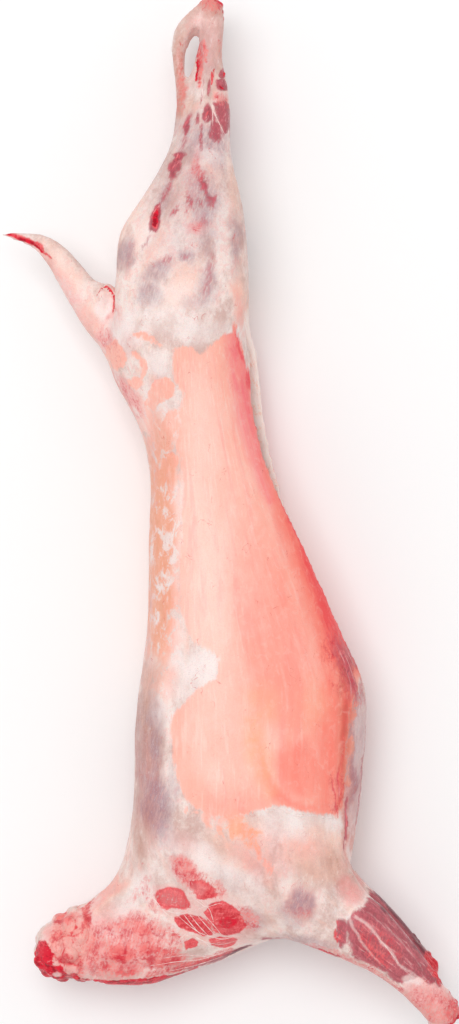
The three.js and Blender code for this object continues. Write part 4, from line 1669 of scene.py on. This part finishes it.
class Groups:
    """The effects that more than one finish uses."""

    def __init__(self) -> None:
        """Builds each once."""
        self.torn_edge = self.make_torn_edge()
        self.ragged = self.make_ragged()
        self.fibres = self.make_fibres()
        self.moist = self.make_moist()

    @staticmethod
    def start(
        name: str, inputs: dict[str, float], outputs: tuple[str, ...]
    ) -> tuple[bpy.types.NodeTree, Nodes]:
        """A new group with its sockets.

        Args:
            name: the group's name.
            inputs: each input value's name and default.
            outputs: each output value's name.

        Returns:
            The group and its nodes.
        """
        tree = bpy.data.node_groups.new(name, "ShaderNodeTree")
        for label, value in inputs.items():
            socket = tree.interface.new_socket(name=label, in_out="INPUT", socket_type="NodeSocketFloat")
            socket.default_value = value
        for label in outputs:
            tree.interface.new_socket(name=label, in_out="OUTPUT", socket_type="NodeSocketFloat")
        return tree, Nodes(tree)

    def make_torn_edge(self) -> bpy.types.NodeTree:
        """A ragged border: distance in millimetres in, mask out.

        Returns:
            The group's node tree.
        """
        tree, nodes = self.start("torn edge", {"Distance": 0.0, "Wobble": 4.0, "Softness": 0.8}, ("Mask",))
        ends = nodes.add("NodeGroupInput").outputs
        broad = nodes.math("SUBTRACT", nodes.noise(nodes.position(), 55, 4, 0.6), 0.5)
        fine = nodes.math("SUBTRACT", nodes.noise(nodes.position((1, 0.22, 1)), 300, 3, 0.6), 0.5)
        shift = nodes.math("ADD", broad, nodes.math("MULTIPLY", fine, 0.9))
        shift = nodes.math("MULTIPLY", nodes.math("MULTIPLY", shift, 2.4), ends["Wobble"])
        moved = nodes.math("ADD", ends["Distance"], shift)
        share = nodes.math("ADD", nodes.math("DIVIDE", moved, ends["Softness"]), 0.5, clamp=True)
        nodes.add("NodeGroupOutput", {"Mask": share})
        return tree

    def make_ragged(self) -> bpy.types.NodeTree:
        """How far one tissue covers another, where a noise tears its soft edge.

        Returns:
            The group's node tree.
        """
        inputs = {"Field": 0.0, "Noise": 0.5, "Ragged": 1.4, "Softness": 0.12}
        tree, nodes = self.start("ragged cover", inputs, ("Mask",))
        ends = nodes.add("NodeGroupInput").outputs
        tear = nodes.math("MULTIPLY", nodes.math("SUBTRACT", ends["Noise"], 0.5), ends["Ragged"])
        value = nodes.math("ADD", ends["Field"], tear)
        low = nodes.math("SUBTRACT", 0.5, ends["Softness"])
        high = nodes.math("ADD", 0.5, ends["Softness"])
        share = nodes.step(value, low, high)
        share = nodes.math("MULTIPLY", share, nodes.step(ends["Field"], 0.02, 0.2))
        nodes.add("NodeGroupOutput", {"Mask": share})
        return tree

    def make_fibres(self) -> bpy.types.NodeTree:
        """Streaks that fan out along the trunk and follow the thigh, the neck and the forelegs.

        Returns:
            The group's node tree.
        """
        tree, nodes = self.start("meat fibres", {"Fineness": 1.0}, ("Streaks", "Fine"))
        ends = nodes.add("NodeGroupInput").outputs
        place = nodes.add("ShaderNodeTexCoord").outputs["Object"]
        split = nodes.add("ShaderNodeSeparateXYZ", {0: place}).outputs
        side, height = split["X"], split["Y"]
        loin_row, widening, loin_width, chest_width = 0.21, 0.366, 0.065, 0.215
        below = nodes.math("SUBTRACT", loin_row, height)
        spread = nodes.math("ADD", nodes.math("MULTIPLY", below, widening), loin_width)
        spread = nodes.math("MAXIMUM", spread, loin_width)
        spread = nodes.math("MINIMUM", spread, chest_width)
        fan = nodes.math("MULTIPLY", nodes.math("DIVIDE", nodes.math("ADD", side, 0.06), spread), 0.14)
        along = nodes.math("MULTIPLY", height, 0.06)
        fanned = nodes.add("ShaderNodeCombineXYZ", {0: fan, 1: along, 2: split["Z"]})
        low = nodes.step(height, -0.40, -0.46)
        leg = nodes.math("MULTIPLY", low, nodes.step(side, 0.07, 0.12))
        neck = nodes.math("MULTIPLY", low, nodes.step(side, 0.05, -0.02))
        thigh = nodes.step(height, 0.18, 0.22)
        results = []
        for fineness, detail in ((90.0, 3.0), (300.0, 2.0)):
            scale = nodes.math("MULTIPLY", ends["Fineness"], fineness)
            mixed = nodes.noise(fanned.outputs[0], scale, detail, 0.6, 0.3)
            for share, turn, flat in ((thigh, 20, 0.3), (leg, -50, 0.11), (neck, 82, 0.3)):
                other = nodes.noise(nodes.position((1, flat, 1), turn), scale, detail, 0.6, 0.5)
                node = nodes.add("ShaderNodeMix", {0: share, 2: mixed, 3: other}, data_type="FLOAT")
                mixed = node.outputs[0]
            results.append(nodes.step(mixed, 0.22, 0.78))
        nodes.add("NodeGroupOutput", {"Streaks": results[0], "Fine": results[1]})
        return tree

    def make_moist(self) -> bpy.types.NodeTree:
        """Uneven wetness: a roughness and a fine height.

        Returns:
            The group's node tree.
        """
        tree, nodes = self.start("moist surface", {"Dry": 0.5, "Wet": 0.3}, ("Roughness", "Height"))
        ends = nodes.add("NodeGroupInput").outputs
        film = nodes.step(nodes.noise(nodes.position(), 38, 4, 0.6), 0.38, 0.66)
        node = nodes.add("ShaderNodeMix", {0: film, 2: ends["Dry"], 3: ends["Wet"]}, data_type="FLOAT")
        grain = nodes.noise(nodes.position(), 520, 3, 0.6)
        pores = nodes.noise(nodes.position(), 170, 3, 0.55)
        height = nodes.math("ADD", nodes.math("MULTIPLY", grain, 0.35), nodes.math("MULTIPLY", pores, 0.65))
        nodes.add("NodeGroupOutput", {"Roughness": node.outputs[0], "Height": height})
        return tree


@dataclass(frozen=True)
class FleshFinish:
    """The carcass's own finish: fat and fascia over muscle, with the thin membrane over the ribs."""

    fat: tuple[int, int, int] = (246, 228, 221)
    fat_shade: tuple[int, int, int] = (214, 178, 169)
    milk: tuple[int, int, int] = (247, 232, 228)
    peach: tuple[int, int, int] = (252, 200, 180)
    rosy: tuple[int, int, int] = (246, 142, 140)
    tan: tuple[int, int, int] = (180, 114, 90)
    violet: tuple[int, int, int] = (148, 108, 126)
    salmon: tuple[int, int, int] = (255, 180, 162)
    salmon_pale: tuple[int, int, int] = (255, 221, 209)
    coral: tuple[int, int, int] = (253, 132, 116)
    red: tuple[int, int, int] = (242, 66, 70)
    rose: tuple[int, int, int] = (252, 92, 122)
    lean_dark: tuple[int, int, int] = (138, 30, 52)
    lean_light: tuple[int, int, int] = (206, 98, 110)
    # The darkest maroon; down the turned-away side of the foreleg it is painted shade.
    deep: tuple[int, int, int] = (112, 30, 48)
    raw_dark: tuple[int, int, int] = (200, 20, 40)
    dabble_dark: tuple[int, int, int] = (212, 44, 60)
    dabble_light: tuple[int, int, int] = (244, 124, 120)
    raw_light: tuple[int, int, int] = (246, 104, 108)
    blood: tuple[int, int, int] = (224, 16, 48)
    blood_dark: tuple[int, int, int] = (160, 0, 30)
    sinew: tuple[int, int, int] = (248, 226, 220)
    blush: tuple[int, int, int] = (250, 156, 150)
    honey: tuple[int, int, int] = (253, 176, 136)
    cream: tuple[int, int, int] = (252, 230, 222)
    lining: tuple[int, int, int] = (204, 118, 108)
    lining_pale: tuple[int, int, int] = (232, 184, 170)

    def seen(self, name: str) -> tuple[float, float, float, float]:
        """One of the finish's colours."""
        return colour(*getattr(self, name))

    def make(self, groups: Groups) -> bpy.types.Material:
        """Builds the material.

        Args:
            groups: the shared effects.

        Returns:
            The material.
        """
        material = bpy.data.materials.new("lamb_flesh")
        material.use_nodes = True
        nodes = Nodes(material.node_tree)
        tone = {tissue: nodes.attribute(tissue.value) for tissue in Tissue}
        fibres = nodes.group(groups.fibres, {"Fineness": 1.0})
        streaks, fine = fibres.outputs["Streaks"], fibres.outputs["Fine"]
        clouds = nodes.step(nodes.noise(nodes.position((1, 0.6, 1)), 24, 5, 0.62, 0.4), 0.3, 0.7)
        felt = nodes.step(nodes.noise(nodes.position((1, 0.75, 1)), 70, 6, 0.68, 0.5), 0.3, 0.7)
        grain = nodes.step(nodes.noise(nodes.position(), 330, 4, 0.7), 0.3, 0.7)
        dust = nodes.step(nodes.noise(nodes.position(), 900, 2, 0.6), 0.3, 0.7)
        mixed = nodes.math("ADD", nodes.math("MULTIPLY", felt, 0.5), nodes.math("MULTIPLY", grain, 0.25))
        mixed = nodes.math("ADD", mixed, nodes.math("MULTIPLY", fine, 0.25))
        hatch = nodes.math("ADD", nodes.math("MULTIPLY", fine, 0.6), nodes.math("MULTIPLY", grain, 0.4))

        def wash(
            below: object, tissue: Tissue, name: str, most: float, tear: object, low: float = 0.45
        ) -> bpy.types.NodeSocket:
            """A soft tint over what is below it.

            Args:
                below: the colour below.
                tissue: the tissue whose field is read.
                name: the tint's name in this finish.
                most: the tint's share at most.
                tear: the noise that makes it uneven.
                low: its share where the noise is 0.

            Returns:
                The tinted colour.
            """
            torn_share = nodes.math("ADD", nodes.math("MULTIPLY", tear, 1.15 - low), low)
            share = nodes.math("MULTIPLY", tone[tissue], torn_share)
            return nodes.mix(nodes.math("MULTIPLY", share, most, clamp=True), below, self.seen(name))

        def cover(tissue: Tissue, tear: object, ragged: float, softness: float) -> bpy.types.NodeSocket:
            """The torn mask of one tissue."""
            inputs = {"Field": tone[tissue], "Noise": tear, "Ragged": ragged, "Softness": softness}
            return nodes.group(groups.ragged, inputs).outputs["Mask"]

        def over(below: object, mask: object, most: float, above: object) -> bpy.types.NodeSocket:
            """One colour over another, as far as its mask goes."""
            return nodes.mix(nodes.math("MULTIPLY", mask, most), below, above)

        depth = nodes.math("ADD", nodes.math("MULTIPLY", clouds, 0.5), nodes.math("MULTIPLY", mixed, 0.5))
        base = nodes.mix(nodes.step(depth, 0.12, 0.72), self.seen("fat_shade"), self.seen("fat"))
        base = over(base, nodes.step(streaks, 0.55, 0.95), 0.3, self.seen("peach"))
        bits = nodes.step(nodes.noise(nodes.position((1, 0.8, 1)), 110, 4, 0.65, 0.8), 0.42, 0.7)
        bits_in_clouds = nodes.math("MULTIPLY", bits, nodes.step(clouds, 0.3, 0.8))
        base = over(base, bits_in_clouds, 0.36, self.seen("blush"))
        base = wash(base, Tissue.WARM, "peach", 0.85, felt)
        base = wash(base, Tissue.TAN, "tan", 0.8, hatch, 0.35)
        base = wash(base, Tissue.ROSY, "rosy", 0.6, mixed)
        hairs = nodes.step(nodes.noise(nodes.position((1, 0.2, 1), 18), 420, 4, 0.7, 0.5), 0.3, 0.7)
        hairy = nodes.math("ADD", nodes.math("MULTIPLY", hairs, 0.6), nodes.math("MULTIPLY", felt, 0.4))
        base = wash(base, Tissue.BRUISE, "violet", 0.76, hairy, 0.26)
        pale_hairs = nodes.math("MULTIPLY", nodes.step(hairs, 0.6, 1.0), nodes.step(felt, 0.3, 0.8))
        base = over(base, pale_hairs, 0.36, self.seen("milk"))
        base = wash(base, Tissue.MILK, "milk", 0.9, clouds)
        base = over(base, nodes.step(dust, 0.6, 1.0), 0.14, self.seen("violet"))

        milky = nodes.math("MULTIPLY", clouds, 0.35)
        salmon = nodes.mix(milky, self.seen("salmon"), self.seen("salmon_pale"))
        streaked = nodes.math("ADD", nodes.math("MULTIPLY", streaks, 0.4), 0.55)
        # Paler membrane, and the painted highlight beside the flank's red streak.
        pale = nodes.math("MULTIPLY", tone[Tissue.PALE_AND_HIGHLIGHT], streaked)
        salmon = nodes.mix(nodes.math("MULTIPLY", pale, 0.85, clamp=True), salmon, self.seen("salmon_pale"))
        salmon = over(salmon, nodes.step(streaks, 0.5, 0.95), 0.34, self.seen("blush"))
        salmon = over(salmon, nodes.step(fine, 0.55, 1.0), 0.4, self.seen("salmon_pale"))
        flow = nodes.math("ADD", nodes.math("MULTIPLY", streaks, 0.2), nodes.math("MULTIPLY", felt, 0.16))
        flush = nodes.math("MULTIPLY", tone[Tissue.FLANK], nodes.math("ADD", flow, 0.78))
        salmon = nodes.mix(nodes.step(flush, 0.0, 0.72), salmon, self.seen("coral"))
        salmon = over(salmon, nodes.step(flush, 0.6, 1.05), 0.9, self.seen("red"))
        salmon = wash(salmon, Tissue.WARM, "honey", 0.7, felt)
        salmon = wash(salmon, Tissue.TAN, "tan", 0.5, felt)
        salmon = wash(salmon, Tissue.ROSE, "rose", 0.75, streaks)
        salmon = over(salmon, nodes.step(dust, 0.55, 1.0), 0.14, self.seen("coral"))
        salmon = over(salmon, nodes.step(bits, 0.3, 1.0), 0.14, self.seen("salmon_pale"))
        islands = nodes.math("MULTIPLY", tone[Tissue.MOTTLE], nodes.step(felt, 0.12, 0.52), clamp=True)
        islands = nodes.math("MAXIMUM", islands, cover(Tissue.BLEND, felt, 0.9, 0.3))
        torn = nodes.group(
            groups.torn_edge, {"Distance": tone[Tissue.FELL], "Wobble": 4.6, "Softness": 3.4}
        )
        fell = nodes.math("MAXIMUM", torn.outputs["Mask"], islands)
        surface = nodes.mix(fell, base, salmon)

        meaty = nodes.math(
            "ADD", nodes.math("MULTIPLY", streaks, 0.36), nodes.math("MULTIPLY", hatch, 0.34)
        )
        meaty = nodes.math("ADD", meaty, nodes.math("MULTIPLY", hairs, 0.3))
        lean = nodes.mix(nodes.step(meaty, 0.05, 0.9), self.seen("lean_dark"), self.seen("lean_light"))
        lean_mask = cover(Tissue.LEAN, meaty, 0.95, 0.34)
        surface = over(surface, lean_mask, 0.93, lean)
        # Deep maroon patches; the foreleg's strip among them is painted shade.
        deep_and_shade_mask = cover(Tissue.DEEP_AND_SHADE, meaty, 0.7, 0.3)
        surface = over(surface, deep_and_shade_mask, 0.95, self.seen("deep"))
        raw = nodes.mix(nodes.step(meaty, 0.15, 0.85), self.seen("raw_dark"), self.seen("raw_light"))
        raw_mask = cover(Tissue.RAW, meaty, 0.9, 0.26)
        surface = over(surface, raw_mask, 0.97, raw)
        dabbled = nodes.math("ADD", nodes.math("MULTIPLY", grain, 0.36), nodes.math("MULTIPLY", felt, 0.2))
        dabbled = nodes.math("ADD", dabbled, nodes.math("MULTIPLY", hairs, 0.44))
        dabble_mask = cover(Tissue.DABBLE, dabbled, 1.2, 0.58)
        dabble = nodes.mix(nodes.step(felt, 0.2, 0.9), self.seen("dabble_light"), self.seen("dabble_dark"))
        surface = over(surface, dabble_mask, 0.9, dabble)
        blood = nodes.mix(nodes.step(mixed, 0.3, 0.6), self.seen("blood_dark"), self.seen("blood"))
        blood_mask = cover(Tissue.BLOOD, mixed, 0.8, 0.2)
        surface = over(surface, blood_mask, 0.985, blood)
        meat = nodes.math("MAXIMUM", lean_mask, nodes.math("MAXIMUM", raw_mask, blood_mask))
        meat = nodes.math("MAXIMUM", meat, deep_and_shade_mask)
        film = nodes.math("MULTIPLY", meat, nodes.step(fine, 0.7, 1.0))
        surface = over(surface, film, 0.26, self.seen("sinew"))
        milk = nodes.math(
            "MULTIPLY", nodes.step(tone[Tissue.MILK], 0.3, 0.95), nodes.math("MULTIPLY", meat, 0.62)
        )
        surface = nodes.mix(milk, surface, self.seen("sinew"))
        edge = nodes.group(
            groups.torn_edge, {"Distance": tone[Tissue.SINEW], "Wobble": 1.0, "Softness": 1.2}
        )
        surface = over(surface, edge.outputs["Mask"], 0.8, self.seen("sinew"))

        # Painted shade: dark blood red laid into the folds, as deep as each point sits in a crease,
        # strongest where the rosy tint lies.
        folds = nodes.step(nodes.attribute("crease"), 0.16, 0.66)
        crease_shade_share = nodes.math("ADD", nodes.math("MULTIPLY", tone[Tissue.ROSY], 0.9), 0.1, clamp=True)
        surface = over(surface, nodes.math("MULTIPLY", folds, crease_shade_share), 0.85, self.seen("blood"))
        specks = nodes.noise(nodes.position(), 420, 3, 0.7)
        speckle = nodes.math("MULTIPLY", nodes.step(specks, 0.66, 0.74), nodes.step(felt, 0.4, 0.9))
        surface = over(surface, speckle, 0.5, self.seen("raw_dark"))
        lines = nodes.math("SUBTRACT", nodes.noise(nodes.position((1, 0.7, 1)), 46, 3, 0.6, 0.6), 0.5)
        scratches = nodes.step(nodes.math("ABSOLUTE", lines), 0.007, 0.001)
        sparse = nodes.step(nodes.noise(nodes.position(), 64, 1, 0.5), 0.6, 0.68)
        surface = over(surface, nodes.math("MULTIPLY", scratches, sparse), 0.5, self.seen("raw_dark"))
        ribs = nodes.add(
            "ShaderNodeTexWave",
            {
                "Vector": nodes.position((0.5, 1, 0.25)),
                "Scale": 8.5,
                "Distortion": 5.0,
                "Detail": 3.0,
                "Detail Scale": 1.6,
            },
            bands_direction="Y",
        ).outputs["Fac"]
        walls = nodes.math("ADD", nodes.math("MULTIPLY", ribs, 0.5), nodes.math("MULTIPLY", clouds, 0.5))
        lining = nodes.mix(nodes.step(walls, 0.15, 0.9), self.seen("lining"), self.seen("lining_pale"))
        lining = over(lining, nodes.step(mixed, 0.55, 0.9), 0.35, self.seen("rosy"))
        surface = nodes.mix(nodes.attribute("inside"), surface, lining)
        rim = nodes.mix(nodes.step(mixed, 0.1, 0.45), self.seen("peach"), self.seen("cream"))
        surface = nodes.mix(nodes.attribute("rim"), surface, rim)

        moist = nodes.group(groups.moist, {"Dry": 0.54, "Wet": 0.36})
        rough = nodes.math("SUBTRACT", moist.outputs["Roughness"], nodes.math("MULTIPLY", meat, 0.12))
        relief = nodes.math("MULTIPLY", moist.outputs["Height"], 0.5)
        relief = nodes.math("ADD", relief, nodes.math("MULTIPLY", streaks, 0.4))
        relief = nodes.math("ADD", relief, nodes.math("MULTIPLY", mixed, 0.5))
        relief = nodes.math("SUBTRACT", relief, nodes.math("MULTIPLY", fell, 0.35))
        relief = nodes.math("SUBTRACT", relief, nodes.math("MULTIPLY", meat, 0.5))
        relief = nodes.math("ADD", relief, nodes.math("MULTIPLY", edge.outputs["Mask"], 0.9))
        bump = nodes.add("ShaderNodeBump", {"Height": relief, "Distance": 0.0011, "Strength": 0.7})
        shader = nodes.add(
            "ShaderNodeBsdfPrincipled",
            {
                "Base Color": surface,
                "Roughness": rough,
                "Normal": bump.outputs[0],
                "IOR": 1.4,
                "Specular IOR Level": 0.26,
                "Subsurface Weight": 0.1,
                "Subsurface Radius": (1.0, 0.35, 0.25),
                "Subsurface Scale": 0.005,
                "Coat Weight": 0.08,
                "Coat Roughness": 0.22,
            },
        )
        nodes.add("ShaderNodeOutputMaterial", {"Surface": shader.outputs[0]})
        return material


@dataclass(frozen=True)
class SinewFinish:
    """Wet white fascia, pink where it is thin."""

    white: tuple[int, int, int] = (248, 228, 222)
    pink: tuple[int, int, int] = (236, 168, 164)

    def make(self, groups: Groups) -> bpy.types.Material:
        """Builds the material.

        Args:
            groups: the shared effects.

        Returns:
            The material.
        """
        material = bpy.data.materials.new("fascia")
        material.use_nodes = True
        nodes = Nodes(material.node_tree)
        patches = nodes.step(nodes.noise(nodes.position(), 180, 4, 0.6), 0.4, 0.7)
        surface = nodes.mix(patches, colour(*self.white), colour(*self.pink))
        moist = nodes.group(groups.moist, {"Dry": 0.5, "Wet": 0.3})
        bump = nodes.add(
            "ShaderNodeBump", {"Height": moist.outputs["Height"], "Distance": 0.0004, "Strength": 0.6}
        )
        shader = nodes.add(
            "ShaderNodeBsdfPrincipled",
            {
                "Base Color": surface,
                "Roughness": moist.outputs["Roughness"],
                "Normal": bump.outputs[0],
                "Coat Weight": 0.2,
                "Coat Roughness": 0.2,
            },
        )
        nodes.add("ShaderNodeOutputMaterial", {"Surface": shader.outputs[0]})
        return material


@dataclass(frozen=True)
class Studio:
    """The pale floor, the soft light and the camera that looks down on the left side."""

    distance: float = 4.6
    floor_size: float = 14.0
    sky: float = 0.67
    panel_place: tuple[float, float, float] = (-0.9, 1.1, 6.2)
    panel_size: float = 3.2
    panel_power: float = 176.0
    film: float = 36.0

    def build(self) -> None:
        """Makes the floor, the lights and the camera."""
        self.floor()
        self.lights()
        self.camera()

    def floor(self) -> None:
        """A plain pale floor."""
        shape = bmesh.new()
        bmesh.ops.create_grid(shape, x_segments=1, y_segments=1, size=self.floor_size / 2)
        mesh = bpy.data.meshes.new("floor")
        shape.to_mesh(mesh)
        shape.free()
        piece = bpy.data.objects.new("floor", mesh)
        bpy.context.collection.objects.link(piece)
        material = bpy.data.materials.new("pale_floor")
        material.use_nodes = True
        nodes = Nodes(material.node_tree)
        clouds = nodes.noise(nodes.position(), 3.0, 2)
        cloth = nodes.mix(clouds, (0.955, 0.96, 0.96, 1), (0.965, 0.97, 0.97, 1))
        shader = nodes.add("ShaderNodeBsdfPrincipled", {"Base Color": cloth, "Roughness": 0.9})
        nodes.add("ShaderNodeOutputMaterial", {"Surface": shader.outputs[0]})
        mesh.materials.append(material)

    def lights(self) -> None:
        """A bright even sky and one large soft panel behind the camera."""
        world = bpy.data.worlds.new("studio")
        world.use_nodes = True
        nodes = Nodes(world.node_tree)
        sky = nodes.add("ShaderNodeBackground", {"Color": (1, 1, 1, 1), "Strength": self.sky})
        nodes.add("ShaderNodeOutputWorld", {"Surface": sky.outputs[0]})
        bpy.context.scene.world = world
        lamp = bpy.data.lights.new("panel", "AREA")
        lamp.shape = "SQUARE"
        lamp.size = self.panel_size
        lamp.energy = self.panel_power
        panel = bpy.data.objects.new("panel", lamp)
        panel.location = self.panel_place
        panel.rotation_euler = (-panel.location).to_track_quat("-Z", "Y").to_euler()
        bpy.context.collection.objects.link(panel)

    def camera(self) -> None:
        """Looks straight down on the shown side, with the chart filling the picture."""
        data = bpy.data.cameras.new("camera")
        data.sensor_width = self.film
        data.lens = self.film * self.distance / (Chart.ROWS * Chart.CELL)
        data.clip_start, data.clip_end = 0.1, 60.0
        camera = bpy.data.objects.new("camera", data)
        camera.location = (0, 0, Chart.MIDDLE + self.distance)
        bpy.context.collection.objects.link(camera)
        scene = bpy.context.scene
        scene.camera = camera
        scene.view_settings.view_transform = "Standard"
        scene.view_settings.look = "None"


def main() -> None:
    """Builds the studio and the carcass, and notes both sizes."""
    logging.basicConfig(level=logging.INFO, format="%(message)s")
    Studio().build()
    groups = Groups()
    flesh = FleshFinish().make(groups)
    fascia = SinewFinish().make(groups)
    noise.seed_set(SEED)
    rng = np.random.default_rng(SEED)
    skin = Skin()
    pieces = [(skin.build(), flesh)]
    pieces += [(cluster.build(skin.tree, rng), flesh) for cluster in CLUSTERS]
    pieces.append((Sinews().build(skin.tree, rng), fascia))
    for piece, finish in pieces:
        piece.data.materials.clear()
        piece.data.materials.append(finish)


if __name__ == "__main__":
    main()
